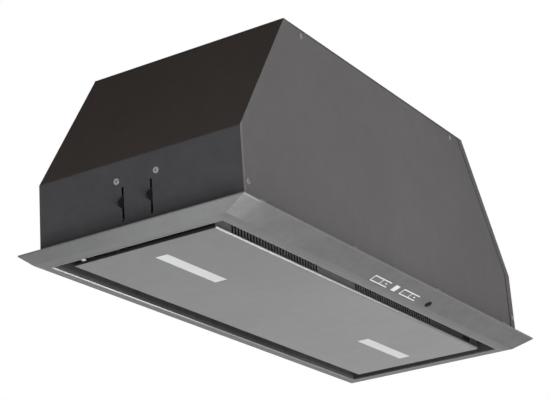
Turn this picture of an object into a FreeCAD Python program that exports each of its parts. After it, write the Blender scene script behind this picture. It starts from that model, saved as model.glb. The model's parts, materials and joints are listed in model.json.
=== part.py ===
import FreeCAD, Part

import math
import os

# Built-in cooker hood: a folded steel casing that hangs in a cabinet's cut-out, a bevelled frame
# that closes the cut-out from below, a hinged perimeter panel with two lamps, two grease filters
# and a twin-inlet blower. X runs along the front, Y from front to back, Z up. The origin is the
# centre of the frame's seat, the face that lies against the cabinet's underside. Millimetres.

# General
overrun = 5.0
part_gap = 0.3
pin_clearance = 0.05

# Bevelled frame
frame_width = 700.0
frame_depth = 278.0
lip_height = 1.5
frame_drop = 12.0
front_bevel = 27.5
side_bevel = 9.8
back_bevel = 13.0
front_rim = 14.5
side_rim = 15.6
back_rim = 12.6
frame_sheet = 1.2
frame_fold = 1.4
inner_wall_top = 8.0
seat_ledge = 2.0
seat_rebate = 0.5
side_overhang = 23.0
front_overhang = 13.5
back_overhang = 11.5
tab_width = 10.0
tab_height = 11.5
tab_inset = 34.5
inner_tab_place = 102.0

# Casing
bend_height = 81.6
casing_height = 240.8
casing_top_width = 444.4
casing_sheet = 1.0
casing_bend = 3.0
return_flange = 12.0
top_tab_drop = 16.0
top_tab_width = 24.0
top_screw_inset = 36.2
top_screw_drop = 8.0
low_screw_inset = 7.2
low_screw_height = 22.7

# Screws
screw_head_radius = 3.2
screw_head_height = 1.6
screw_shank_radius = 1.7
screw_length = 8.0

# Side clips
slot_width = 3.0
slot_low = 14.5
slot_high = 53.0
clip_middle = 2.0
clip_half_spacing = 17.75
clip_pivot_inset = 6.2
clip_pivot_height = 58.0
clip_pin_radius = 2.0
clip_eye_radius = 3.7
blade_thickness = 2.2
blade_width = 6.0
blade_low = 21.0
nose_reach = 11.4
nose_low = 29.2
nose_tip = 4.0
nose_under = 5.0
nose_round = 1.8
nose_high = 45.0
bracket_sheet = 1.0
bracket_below = 4.4
bracket_above = 9.0
bracket_half = 9.0
ear_above = 5.5
ear_reach = 11.5
rivet_offset = 7.0
rivet_rise = 2.0
rivet_radius = 3.5
rivet_head = 0.9
rivet_shank_radius = 1.8
rivet_bore_radius = 1.3
rivet_tail_radius = 2.8
clip_notch_reach = 30.0
clip_notch_half = 36.0

# Perimeter panel
panel_side_gap = 14.8
panel_front_gap = 18.5
panel_back_gap = 14.8
panel_rise = 0.9
panel_sheet = 1.0
panel_fold = 2.0
front_rim_below = 16.0
side_rim_height = 3.6
back_rim_top = 4.0
corner_return = 4.0
hinge_ear_half = 5.0
hinge_ear_above = 4.5
intake_slot_width = 3.4
intake_slot_pitch = 5.85
intake_slot_low = -8.2
intake_slot_edge = 4.0
first_slots_inset = 30.8
first_slots_count = 30
second_slots_start = -20.0
second_slots_count = 33
pull_window_inset = 35.8
pull_window_width = 19.0
pull_window_low = -6.5
pull_window_high = -0.5
pull_window_round = 2.0

# Panel hinge and catches
hinge_inset = 21.6
hinge_rise = 6.3
hinge_pin_radius = 2.0
hinge_head_radius = 2.8
hinge_head = 1.0
hinge_pin_tail = 1.2
knob_inset = 4.8
knob_stem_radius = 1.4
knob_radius = 2.7
knob_height = 3.4
knob_proud = 0.2
knob_round = 1.2
catch_inset = 11.5
catch_width = 16.0
catch_length = 14.0
catch_sheet = 1.0
magnet_height = 9.0
magnet_stem_inset = 3.0

# Lamps
lamp_inset = 91.8
lamp_offset = 0.95
lamp_length = 113.5
lamp_width = 15.5
lens_gap = 0.15
lens_flange = 2.0
lens_flange_height = 1.2
lamp_case_width = 24.0
lamp_case_length = 124.0
lamp_case_top = 2.0
lamp_case_sheet = 1.0
lamp_foot = 6.0
lamp_board_width = 13.0
lamp_board_height = 1.6
lamp_chip = 3.0
lamp_chip_height = 1.0
lamp_chip_count = 9
lamp_chip_pitch = 12.0

# Keys and control board, in the bevel's own plane: run down the slope and depth behind the face
key_edge_gap = 1.74
key_length = 38.5
key_height = 9.8
key_spacing = 10.85
key_middle = 3.0
centre_key_length = 9.4
centre_key_height = 10.0
key_gap = 0.25
key_face = 1.5
key_flange = 1.1
key_flange_depth = 1.0
key_post_radius = 2.0
key_post_length = 4.0
key_travel = 1.0
key_round = 0.8
mark_line = 1.5
mark_divider_share = 0.52
mark_stub_share = 0.82
mark_stub = 4.0
mark_depth = 0.4
switch_size = 6.0
switch_height = 3.4
switch_stop_gap = 0.3
nose_radius = 1.5
nose_hold = 1.0
board_thickness = 1.6
control_end = 8.0
control_front = 6.4
control_wall_gap = 1.9
control_depth_start = 4.0
control_depth_end = 20.0
control_wall = 1.5
control_foot = 6.0
sensor_spacing = 28.95
sensor_radius = 4.6
sensor_proud = 1.0
sensor_round = 0.8
sensor_flange = 1.2
sensor_flange_depth = 1.0
sensor_pipe_radius = 2.5

# Deck, filter rails and grease filters
deck_low = 30.0
deck_sheet = 1.0
filter_inner = 6.0
filter_catch_gap = 4.0
filter_front_lap = 3.5
filter_back_inset = 12.6
filter_height = 9.0
filter_bar = 12.0
filter_sheet = 1.0
deck_ledge = 6.0
rail_sheet = 1.0
rail_overhang = 6.0
rail_gap = 3.0
rail_lip = 4.4
rail_flange = 10.0
rail_toe = 9.0
mesh_thickness = 1.0
mesh_hole = 13.0
mesh_pitch = 17.6
latch_width = 36.0
latch_length = 14.0
latch_thickness = 2.8
latch_inset = 2.0
latch_travel = 6.0
tongue_width = 12.0
tongue_length = 9.4
tongue_thickness = 1.6
pull_length = 2.4
pull_depth = 5.6
guide_width = 3.0
guide_lip = 2.0
guide_lip_thickness = 1.0
window_gap = 0.5

# Blower
fan_offset = 21.0
scroll_floor_gap = 11.0
scroll_roof_gap = 10.0
scroll_step = 6.0
scroll_half = 70.0
scroll_wall = 2.0
duct_height = 31.8
inlet_lap = 2.0
inlet_lip = 2.0
inlet_lip_out = 2.0
inlet_lip_in = 8.0
impeller_share = 0.892
impeller_bore_share = 0.818
fan_blade_sheet = 1.2
blade_arc_radius = 8.0
blade_tip_gap = 0.2
impeller_half = 60.0
impeller_ring = 4.0
impeller_ring_sheet = 1.5
impeller_disc = 3.0
impeller_hub_radius = 10.0
impeller_hub_half = 7.0
blade_count = 40

# Motor
shaft_radius = 4.0
shaft_left = -70.0
shaft_right = 8.5
motor_left = -66.0
motor_right = -12.0
motor_share = 0.815
rotor_share = 0.6
motor_wall = 2.0
bearing_radius = 11.0
bearing_width = 7.0
bearing_cup = 2.0
rotor_gap = 0.6
rotor_left = -56.0
rotor_right = -22.0
collar_band = 3.0
collar_right = -61.0
arm_plane = -75.0
arm_sheet = 1.5
arm_width = 12.0
arm_lip_gap = 2.0
arm_foot = 8.0
arm_count = 3
arm_start_angle = 90.0

# Blower rails
blower_rail_sheet = 1.5
blower_rail_height = 34.0
blower_rail_end_gap = 12.5
blower_rail_flange = 20.0

# Outlet
outlet_radius = 73.0
outlet_wall = 2.0
collar_height = 50.0
collar_flange = 17.0
collar_flange_height = 2.0
flap_height = 17.0
flap_radius = 71.4
flap_thickness = 1.6
flap_start = 4.2
flap_pin_radius = 2.0
knuckle_radius = 3.5
knuckle_length = 9.0
front_knuckle_place = 50.0
back_knuckle_place = 30.0
stop_width = 3.0
stop_thickness = 1.5
collar_screw_inset = 8.0
collar_screw_count = 4
collar_screw_angle = 45.0

# Wiring pieces
terminal_inset = 32.2
terminal_duct_gap = 32.0
terminal_front = -58.0
terminal_back = 42.0
terminal_depth = 42.0
terminal_wall = 1.8
lid_thickness = 1.8
gland_inset = 22.0
gland_y = 0.0
gland_radius = 10.0
gland_bore = 4.5
gland_height = 14.0
gland_nut_radius = 14.0
gland_nut_sides_count = 6
gland_nut_height = 5.0
gland_tail = 8.0
capacitor_radius = 16.0
capacitor_length = 56.0
capacitor_inset = 86.2
capacitor_y = -70.0
capacitor_round = 2.0
capacitor_stud_radius = 4.0
capacitor_stud = 9.0
driver_inset = 65.0
driver_length = 90.0
driver_edge_gap = 3.5
driver_width = 42.0
driver_height = 24.0
driver_round = 3.0
lead_radius = 2.6
lead_offset = 15.0
lead_drop = 23.8
lead_out = 17.0
lead_bend = 9.0
lead_hold = 8.0
block_inset = 46.0
block_length = 30.0
block_front = -40.0
block_width = 20.0
block_height = 16.0
block_screw = 2.5
block_ways_count = 3

# Frame and casing, worked out from the sizes above
frame_half = frame_width / 2
frame_rise = frame_drop - lip_height
open_half = frame_half - side_bevel - side_rim
open_front = front_bevel + front_rim - frame_depth / 2
open_back = frame_depth / 2 - back_bevel - back_rim
case_half = frame_half - side_overhang
case_top_half = casing_top_width / 2
case_front = front_overhang - frame_depth / 2
case_back = frame_depth / 2 - back_overhang
case_inner = case_half - casing_sheet
face_front = case_front + casing_sheet
face_back = case_back - casing_sheet
inner_front = face_front + casing_sheet
inner_back = face_back - casing_sheet
top_low = casing_height - casing_sheet
slope_run = case_half - case_top_half
slope_rise = top_low - bend_height
top_screw_place = case_top_half - top_screw_inset
low_screw_place = case_half - low_screw_inset
tab_places = (tab_inset - case_half, -inner_tab_place, inner_tab_place, case_half - tab_inset)
bracket_low = clip_pivot_height - bracket_below
bracket_high = clip_pivot_height + bracket_above
ear_high = clip_pivot_height + ear_above
rivet_height = clip_pivot_height + rivet_rise

# Panel, worked out
panel_half = open_half - panel_side_gap
panel_width = 2 * panel_half
panel_front = open_front + panel_front_gap
panel_back = open_back - panel_back_gap
panel_low = panel_rise - frame_drop
front_rim_top = deck_low - front_rim_below
intake_slot_high = front_rim_top - intake_slot_edge
first_slots_start = first_slots_inset - panel_half
pull_window_place = panel_half - pull_window_inset
hinge_y = panel_back - hinge_inset
hinge_z = panel_low + hinge_rise
side_rim_top = panel_low + side_rim_height
catch_place = panel_half - catch_inset
lamp_place = panel_half - lamp_inset
lamp_y = (panel_front + panel_back) / 2 + lamp_offset

# Keys, worked out
bevel_length = math.hypot(front_bevel, frame_rise)
bevel_tilt = math.degrees(math.atan2(frame_rise, front_bevel))
key_run = bevel_length - key_height / 2 - key_edge_gap
key_place = centre_key_length / 2 + key_spacing + key_length / 2
key_back = key_face + key_flange_depth + key_post_length
switch_face = key_back + key_travel + switch_stop_gap
board_depth = switch_face + switch_height
sensor_place = key_middle + key_place + key_length / 2 + sensor_spacing
control_half_length = sensor_place + sensor_radius + control_end
control_run_start = key_run - control_front
control_reach = front_bevel + front_rim - frame_sheet - control_wall_gap
control_run_end = (control_reach * bevel_length - control_depth_end * frame_rise) / front_bevel

# Filters, worked out
filter_outer = catch_place - catch_width / 2 - filter_catch_gap
filter_front = panel_front - filter_front_lap
filter_back = panel_back - filter_back_inset
rail_end = filter_outer + rail_overhang
rail_low = deck_low - filter_height - rail_lip
mesh_columns_count = int((filter_outer - filter_inner - 2 * filter_bar) / mesh_pitch)
mesh_rows_count = int((filter_back - filter_front - 2 * filter_bar) / mesh_pitch)

# Blower, worked out
scroll_low = deck_low + deck_sheet + scroll_floor_gap + scroll_wall
scroll_top = top_low - duct_height
scroll_start = (scroll_top - scroll_roof_gap - scroll_low - scroll_step) / 2
fan_y = (inner_front + inner_back) / 2 - fan_offset
fan_z = scroll_low + scroll_step + scroll_start
impeller_radius = scroll_start * impeller_share
impeller_inner = impeller_radius * impeller_bore_share
inlet_radius = impeller_inner - inlet_lap
motor_radius = impeller_inner * motor_share
rotor_radius = (motor_radius - motor_wall) * rotor_share
arm_reach = inlet_radius + inlet_lip + arm_lip_gap + arm_foot

# Outlet and wiring, worked out
outlet_y = fan_y + (scroll_start + 3 * scroll_step) / 2
pin_height = casing_height + flap_height
collar_flange_radius = outlet_radius + outlet_wall + collar_flange
collar_screw_circle = collar_flange_radius - collar_screw_inset
terminal_left = terminal_inset - case_top_half
terminal_right = -scroll_half - scroll_wall - terminal_duct_gap
gland_x = terminal_left + gland_inset
block_left = terminal_right - block_inset
capacitor_x = case_top_half - capacitor_inset
driver_left = driver_inset - case_half
driver_front = inner_front + driver_edge_gap
lead_y = fan_y + lead_offset
lead_high = top_low - lead_drop
lead_low = fan_z + motor_radius / 2

X_AXIS = FreeCAD.Vector(1, 0, 0)
Y_AXIS = FreeCAD.Vector(0, 1, 0)
Z_AXIS = FreeCAD.Vector(0, 0, 1)


def vec(x, y, z):
    return FreeCAD.Vector(x, y, z)


def block(x_low, x_high, y_low, y_high, z_low, z_high):
    """Box between two corners."""
    corner = vec(x_low, y_low, z_low)
    return Part.makeBox(x_high - x_low, y_high - y_low, z_high - z_low, corner)


def rod(centre, radius, length, axis):
    """Round bar from its end's centre along an axis."""
    return Part.makeCylinder(radius, length, centre, axis)


def ring(centre, outer, inner, length, axis):
    """Tube from its end's centre along an axis."""
    return rod(centre, outer, length, axis).cut(rod(centre, inner, length, axis))


def join(shapes):
    """One solid from touching or overlapping shapes."""
    first = shapes[0]
    if len(shapes) == 1:
        return first
    return first.fuse(shapes[1:]).removeSplitter()


def cut_all(shape, tools):
    """Shape with every tool cut away."""
    return shape.cut(tools)


def mirrored(shape):
    """The shape's twin on the other side of the middle plane."""
    return shape.mirror(vec(0, 0, 0), X_AXIS)


def prism(points, run):
    """Straight-sided solid on an outline of points, drawn along run."""
    return Part.Face(Part.makePolygon(points + [points[0]])).extrude(run)


def rounded(shape, radius, wanted):
    """Shape with the edges that wanted(middle, direction) picks rounded."""
    edges = []
    for edge in shape.Edges:
        ends = [vertex.Point for vertex in edge.Vertexes]
        if len(ends) == 2 and wanted((ends[0] + ends[1]) * 0.5, ends[1] - ends[0]):
            edges.append(edge)
    return shape.makeFillet(radius, edges)


def upright(middle, direction):
    return abs(direction.x) + abs(direction.y) < abs(direction.z) / overrun


def bent_sheet(points, thickness, inside_radius, place, run):
    """Bent sheet along a line of points, lying on the line's left, drawn out along run."""
    ways = []
    for start, end in zip(points, points[1:]):
        length = math.hypot(end[0] - start[0], end[1] - start[1])
        ways.append(((end[0] - start[0]) / length, (end[1] - start[1]) / length))
    first, last = points[0], points[-1]
    near = [[first]]
    far = [[(first[0] - ways[0][1] * thickness, first[1] + ways[0][0] * thickness)]]
    for point, before, after in zip(points[1:], ways, ways[1:]):
        turn = math.atan2(before[0] * after[1] - before[1] * after[0],
                          before[0] * after[0] + before[1] * after[1])
        side = math.copysign(1, turn)
        radius = inside_radius + (thickness if side > 0 else 0)
        reach = radius * math.tan(abs(turn) / 2)
        centre = (point[0] - before[0] * reach - before[1] * side * radius,
                  point[1] - before[1] * reach + before[0] * side * radius)
        start_angle = math.atan2(-before[0] * side, before[1] * side)
        for size, chain in ((radius, near), (radius - side * thickness, far)):
            chain.append([(centre[0] + size * math.cos(start_angle + turn * share),
                           centre[1] + size * math.sin(start_angle + turn * share))
                          for share in (0, 0.5, 1)])
    near.append([last])
    far.append([(last[0] - ways[-1][1] * thickness, last[1] + ways[-1][0] * thickness)])
    far = [list(reversed(stop)) for stop in reversed(far)]
    edges = []
    stops = near + far
    for stop, following in zip(stops, stops[1:] + stops[:1]):
        corners = [place(*corner) for corner in stop]
        if len(corners) == 3:
            edges.append(Part.Arc(*corners).toShape())
        edges.append(Part.makeLine(corners[-1], place(*following[0])))
    return Part.Face(Part.Wire(edges)).extrude(run)


def front_plane(y):
    """Places (across, up) points on an upright plane that faces the front."""
    return lambda a, b: vec(a, y, b)


def side_plane(x):
    """Places (back, up) points on an upright plane that faces sideways."""
    return lambda a, b: vec(x, a, b)


def on_bevel(shape):
    """Moves a shape from (across, down the slope, behind the face) onto the front bevel."""
    corner = vec(0, -frame_depth / 2, -lip_height)
    moved = shape.copy()
    moved.Placement = FreeCAD.Placement(corner, FreeCAD.Rotation(X_AXIS, -bevel_tilt))
    return moved


def screw(seat, axis):
    """Pan-head screw whose head stands on its seat and whose shank runs along the axis."""
    head = rod(seat - axis * screw_head_height, screw_head_radius, screw_head_height, axis)
    head = head.makeFillet(screw_head_height / 2, [head.Edges[2]])
    return join([head, rod(seat, screw_shank_radius, screw_length, axis)])


# Bevelled frame
def bevel_outline(z, inset):
    """Closed outline of the bevelled skirt at a level, drawn in square to each face."""
    share = (-z - lip_height) / frame_rise
    side = frame_half - side_bevel * share - inset * math.hypot(side_bevel, frame_rise) / frame_rise
    front = front_bevel * share - frame_depth / 2
    front = front + inset * math.hypot(front_bevel, frame_rise) / frame_rise
    back = frame_depth / 2 - back_bevel * share
    back = back - inset * math.hypot(back_bevel, frame_rise) / frame_rise
    corners = [vec(-side, front, z), vec(side, front, z), vec(side, back, z), vec(-side, back, z)]
    return Part.makePolygon(corners + [corners[0]])


def bevel_frame():
    lip = block(-frame_half, frame_half, -frame_depth / 2, frame_depth / 2, -lip_height, 0)
    lip = lip.cut(block(-case_half - part_gap, case_half + part_gap, case_front - part_gap,
                        case_back + part_gap, -seat_rebate, overrun))
    skirt = Part.makeLoft([bevel_outline(-lip_height, 0), bevel_outline(-frame_drop, 0)], True, True)
    body = join([lip, skirt])
    body = rounded(body, frame_fold,
                   lambda middle, way: middle.z < -lip_height and way.Length > frame_drop)
    cavity = Part.makeLoft([bevel_outline(-lip_height, frame_sheet),
                            bevel_outline(frame_sheet - frame_drop, frame_sheet)], True, True)
    ledge_half = case_half - seat_ledge
    flange_hole = block(-ledge_half, ledge_half, case_front + seat_ledge, case_back - seat_ledge,
                        -frame_drop / 2, overrun)
    opening = block(-open_half, open_half, open_front, open_back, -frame_drop - overrun, overrun)
    wall = block(-open_half - frame_sheet, open_half + frame_sheet, open_front - frame_sheet,
                 open_back + frame_sheet, frame_sheet / 2 - frame_drop, inner_wall_top)
    body = join([body.cut([cavity, flange_hole]), wall]).cut(opening.fuse(
        block(-open_half, open_half, open_front, open_back, 0, inner_wall_top + overrun)))
    tabs = []
    for place in tab_places:
        tabs.append(block(place - tab_width / 2, place + tab_width / 2,
                          face_front - frame_sheet, face_front, -lip_height / 2, tab_height))
        tabs.append(block(place - tab_width / 2, place + tab_width / 2,
                          face_back, face_back + frame_sheet, -lip_height / 2, tab_height))
    body = join([body] + tabs)
    holes = []
    for x, length, height in key_sizes():
        holes.append(on_bevel(block(x - length / 2 - key_gap, x + length / 2 + key_gap,
                                    key_run - height / 2 - key_gap, key_run + height / 2 + key_gap,
                                    -overrun, frame_sheet + overrun / 2)))
    holes.append(on_bevel(rod(vec(sensor_place, key_run, -overrun), sensor_radius,
                              frame_sheet + overrun * 1.5, Z_AXIS)))
    pin = rod(vec(-open_half - overrun, hinge_y, hinge_z), hinge_pin_radius,
              2 * (open_half + overrun), X_AXIS)
    return cut_all(body, holes + [pin])


# Casing
def plate_blank(y):
    """Six-sided blank of the front or back plate, which stands between the side plates."""
    inset = casing_sheet + part_gap
    slant = inset * math.hypot(slope_run, slope_rise) / slope_rise
    side = case_half - inset
    bend = bend_height - (slant - inset) * slope_rise / slope_run
    top = case_top_half - slant
    return prism([vec(-side, y, -seat_rebate), vec(side, y, -seat_rebate), vec(side, y, bend),
                  vec(top, y, top_low), vec(-top, y, top_low), vec(-side, y, bend)],
                 vec(0, casing_sheet, 0))


def casing_screw_holes():
    """Cutters for every screw through the casing's front and back."""
    length = case_back - case_front + 2 * overrun
    holes = []
    for side in (-1, 1):
        for x, z in ((side * top_screw_place, casing_height - top_screw_drop),
                     (side * low_screw_place, low_screw_height)):
            holes.append(rod(vec(x, case_front - overrun, z), screw_shank_radius, length, Y_AXIS))
    return holes


def front_plate():
    return cut_all(plate_blank(face_front), casing_screw_holes())


def back_plate():
    return cut_all(plate_blank(inner_back), casing_screw_holes())


def clip_centres():
    """Y places of the two clips on each side."""
    return (clip_middle - clip_half_spacing, clip_middle + clip_half_spacing)


def rivet_y(y):
    """Y place of the rivet beside a clip, away from the other clip."""
    return y + math.copysign(rivet_offset, y - clip_middle)


def left_side_plate():
    """Side wall with its slope, whose flanges wrap over the front and back plates."""
    line = [(case_top_half - return_flange, top_low), (case_top_half, top_low),
            (case_half, bend_height), (case_half, -seat_rebate)]
    line = [(-x, z) for x, z in line]
    wall = bent_sheet(line, casing_sheet, casing_bend, front_plane(case_front),
                      vec(0, case_back - case_front, 0))
    edge = [vec(-case_half, 0, -seat_rebate), vec(-case_half, 0, bend_height),
            vec(-case_top_half, 0, top_low), vec(return_flange - case_top_half, 0, top_low),
            vec(return_flange - case_half, 0, bend_height),
            vec(return_flange - case_half, 0, -seat_rebate)]
    front = prism([p + vec(0, case_front, 0) for p in edge], vec(0, casing_sheet, 0))
    back = prism([p + vec(0, face_back, 0) for p in edge], vec(0, casing_sheet, 0))
    plate = join([wall, front, back])
    tools = [plate_blank(face_front), plate_blank(inner_back)] + casing_screw_holes()
    for y in clip_centres():
        tools.append(block(-case_half - overrun, overrun - case_half, y - slot_width / 2,
                           y + slot_width / 2, slot_low, slot_high))
        tools.append(rod(vec(-case_half - overrun, rivet_y(y), rivet_height), rivet_shank_radius,
                         2 * overrun, X_AXIS))
    return cut_all(plate, tools)


def top_plate():
    plate = block(-case_top_half, case_top_half, case_front, case_back, top_low, casing_height)
    tabs = []
    for x in (-top_screw_place, top_screw_place):
        for y in (inner_front, inner_back - casing_sheet):
            tabs.append(block(x - top_tab_width / 2, x + top_tab_width / 2, y, y + casing_sheet,
                              casing_height - top_tab_drop, top_low))
    plate = join([plate] + tabs)
    tools = [rod(vec(0, outlet_y, top_low - overrun), outlet_radius, 2 * overrun, Z_AXIS),
             rod(vec(gland_x, gland_y, top_low - overrun), gland_radius, 2 * overrun, Z_AXIS),
             rod(vec(capacitor_x, capacitor_y, top_low - overrun), capacitor_stud_radius,
                 2 * overrun, Z_AXIS)]
    tools += casing_screw_holes()
    for angle in collar_screw_angles():
        tools.append(rod(collar_point(angle, top_low - overrun), screw_shank_radius,
                         2 * overrun, Z_AXIS))
    return cut_all(plate, tools)


def casing_screws():
    """Screws that hold the top plate's tabs, the side plates' flanges and the outlet collar."""
    screws = []
    for side in (-1, 1):
        x = side * top_screw_place
        screws.append(screw(vec(x, face_front, casing_height - top_screw_drop), Y_AXIS))
        screws.append(screw(vec(x, face_back, casing_height - top_screw_drop), -Y_AXIS))
        x = side * low_screw_place
        screws.append(screw(vec(x, case_front, low_screw_height), Y_AXIS))
        screws.append(screw(vec(x, case_back, low_screw_height), -Y_AXIS))
    for angle in collar_screw_angles():
        screws.append(screw(collar_point(angle, casing_height + collar_flange_height), -Z_AXIS))
    return Part.makeCompound(screws)


# Side clips
def clip_blade(y):
    """Spring blade of a left clip: an eye, an arm and a nose that stands out of the slot."""
    x = clip_pivot_inset - case_half
    low = y - blade_thickness / 2
    run = vec(0, blade_thickness, 0)
    eye = rod(vec(x, low, clip_pivot_height), clip_eye_radius, blade_thickness, Y_AXIS)
    arm_out = x - blade_width / 2
    tip = -case_half - nose_reach
    arm = [vec(arm_out, low, clip_pivot_height), vec(arm_out, low, nose_high),
           vec(tip, low, nose_low + nose_tip), vec(tip + nose_under, low, nose_low),
           vec(arm_out, low, nose_low),
           vec(arm_out, low, blade_low), vec(arm_out + blade_width, low, blade_low),
           vec(arm_out + blade_width, low, clip_pivot_height)]
    bore = rod(vec(x, low - overrun, clip_pivot_height), clip_pin_radius + pin_clearance,
               2 * overrun + blade_thickness, Y_AXIS)
    arm = rounded(prism(arm, run), nose_round,
                  lambda middle, way: abs(way.y) > blade_thickness / 2 and middle.x < -case_half)
    return join([eye, arm]).cut(bore)


def clip_bracket(y):
    """Bracket behind a left slot: a riveted base and two ears that hold the clip's pin."""
    base = block(-case_inner, bracket_sheet - case_inner, y - bracket_half,
                 y + bracket_half, bracket_low, bracket_high)
    shift = rivet_y(y) - y
    base = join([base, base.translated(vec(0, shift / 2, 0))])
    ears = []
    for side in (-1, 1):
        inside = y + side * (blade_thickness / 2 + part_gap)
        outside = inside + side * bracket_sheet
        ears.append(block(-case_inner, ear_reach - case_inner, min(inside, outside),
                          max(inside, outside), bracket_low, ear_high))
    x = clip_pivot_inset - case_half
    bore = rod(vec(x, y - overrun, clip_pivot_height), clip_pin_radius, 2 * overrun, Y_AXIS)
    hole = rod(vec(-case_inner - overrun, rivet_y(y), rivet_height), rivet_shank_radius,
               2 * overrun, X_AXIS)
    return join([base] + ears).cut([bore, hole])


def clip_pin(y):
    """Pin through a bracket's ears."""
    half = blade_thickness / 2 + part_gap + bracket_sheet
    x = clip_pivot_inset - case_half
    return rod(vec(x, y - half, clip_pivot_height), clip_pin_radius, 2 * half, Y_AXIS)


def clip_rivet(y):
    """Hollow rivet that shows as a light ring on the casing's side."""
    place = vec(-case_half, rivet_y(y), rivet_height)
    head = rod(place - X_AXIS * rivet_head, rivet_radius, rivet_head, X_AXIS)
    head = head.makeFillet(rivet_head / 2, [head.Edges[2]])
    grip = casing_sheet + bracket_sheet
    shank = rod(place, rivet_shank_radius, grip, X_AXIS)
    tail = rod(place + X_AXIS * grip, rivet_tail_radius, rivet_head, X_AXIS)
    bore = rod(place - X_AXIS * overrun, rivet_bore_radius, 2 * overrun + grip, X_AXIS)
    return join([head, shank, tail]).cut(bore)


def both_sides(maker):
    """Four copies of a left-hand piece: two on the left and their twins on the right."""
    left = [maker(y) for y in clip_centres()]
    return Part.makeCompound(left + [mirrored(shape) for shape in left])


# Perimeter panel
def slot_row(start, count):
    """A row of upright air slots in the panel's front rim."""
    row = []
    for index in range(count):
        x = start + index * intake_slot_pitch
        row.append(block(x, x + intake_slot_width, panel_front - overrun,
                         panel_front + overrun, intake_slot_low, intake_slot_high))
    return row


def perimeter_panel():
    body = block(-panel_half, panel_half, panel_front, panel_back, panel_low, front_rim_top)
    body = rounded(body, panel_fold,
                   lambda middle, way: middle.z < panel_low + panel_sheet or upright(middle, way))
    low = panel_low + panel_sheet
    inside = block(panel_sheet - panel_half, panel_half - panel_sheet, panel_front + panel_sheet,
                   panel_back - panel_sheet, low, front_rim_top + overrun)
    inside = rounded(inside, panel_fold - panel_sheet,
                     lambda middle, way: middle.z < low + panel_sheet or upright(middle, way))
    body = body.cut(inside)
    tools = [block(-panel_half - overrun, panel_half + overrun, panel_back - panel_fold,
                   panel_back + overrun, back_rim_top, front_rim_top + overrun)]
    for side in (-1, 1):
        ends = sorted((side * (panel_half - panel_fold), side * (panel_half + overrun)))
        for start, end, low_end in ((panel_front + corner_return, hinge_y - hinge_ear_half, side_rim_top),
                                    (hinge_y - hinge_ear_half, hinge_y + hinge_ear_half,
                                     hinge_z + hinge_ear_above),
                                    (hinge_y + hinge_ear_half, panel_back - panel_fold, side_rim_top)):
            tools.append(block(ends[0], ends[1], start, end, low_end, front_rim_top + overrun))
    tools += slot_row(first_slots_start, first_slots_count)
    tools += slot_row(second_slots_start, second_slots_count)
    window = block(pull_window_place - pull_window_width / 2,
                   pull_window_place + pull_window_width / 2, panel_front - overrun,
                   panel_front + overrun, pull_window_low, pull_window_high)
    tools.append(rounded(window, pull_window_round,
                         lambda middle, way: abs(way.y) > overrun))
    for side in (-1, 1):
        x = side * lamp_place
        tools.append(block(x - lamp_length / 2, x + lamp_length / 2, lamp_y - lamp_width / 2,
                           lamp_y + lamp_width / 2, panel_low - overrun, low + overrun))
    tools.append(rod(vec(-panel_half - overrun, hinge_y, hinge_z), hinge_pin_radius + pin_clearance,
                     panel_width + 2 * overrun, X_AXIS))
    return cut_all(body, tools)


def catch_plate():
    """Steel strike plate on the panel, under the left magnet."""
    left = -catch_place - catch_width / 2
    right = catch_width / 2 - catch_place
    front = panel_front + panel_sheet
    top = front_rim_top
    ledge = block(left, right, front, front + catch_length, top - catch_sheet, top)
    foot = block(left, right, front, front + catch_sheet, intake_slot_high, top)
    return join([ledge, foot])


def catch_magnet():
    """Magnet in its holder, hung from the deck above the left strike plate."""
    left = -catch_place - catch_width / 2
    right = catch_width / 2 - catch_place
    front = panel_front + panel_sheet
    low = front_rim_top + part_gap
    holder = block(left, right, front, front + catch_length, low, low + magnet_height)
    stem = block(left + magnet_stem_inset, right - magnet_stem_inset, front + magnet_stem_inset,
                 front + catch_length - magnet_stem_inset, low + magnet_height, deck_low)
    return join([holder, stem])


def plain_hinge_pin():
    """Left-hand pin: a head behind the frame's inner wall, a shank through the panel's rim."""
    outer = -open_half - frame_sheet
    inner = panel_sheet + hinge_pin_tail - panel_half
    shank = rod(vec(outer, hinge_y, hinge_z), hinge_pin_radius, inner - outer, X_AXIS)
    shank = shank.makeChamfer(hinge_pin_radius / 3, [shank.Edges[0]])
    head = rod(vec(outer - hinge_head, hinge_y, hinge_z), hinge_head_radius, hinge_head, X_AXIS)
    return join([head, shank])


def knob_hinge_pin():
    """Left hinge pin, with the knob in the gap that draws it back to free the panel."""
    place = vec(knob_inset - open_half, hinge_y, -frame_drop - knob_proud)
    head = rod(place, knob_radius, knob_height, Z_AXIS)
    head = head.makeFillet(knob_round, [head.Edges[2]])
    stem = rod(place + Z_AXIS * knob_height, knob_stem_radius, hinge_z - place.z - knob_height, Z_AXIS)
    return join([plain_hinge_pin(), stem, head])


# Lamps
def lamp_lens():
    """Left lamp's diffuser: flush in the panel, with a flange behind the sheet."""
    x = -lamp_place
    low = panel_low + panel_sheet
    face = block(x - lamp_length / 2 + lens_gap, x + lamp_length / 2 - lens_gap,
                 lamp_y - lamp_width / 2 + lens_gap, lamp_y + lamp_width / 2 - lens_gap,
                 panel_low, low)
    flange = block(x - lamp_length / 2 - lens_flange, x + lamp_length / 2 + lens_flange,
                   lamp_y - lamp_width / 2 - lens_flange, lamp_y + lamp_width / 2 + lens_flange,
                   low, low + lens_flange_height)
    return join([face, flange])


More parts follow.
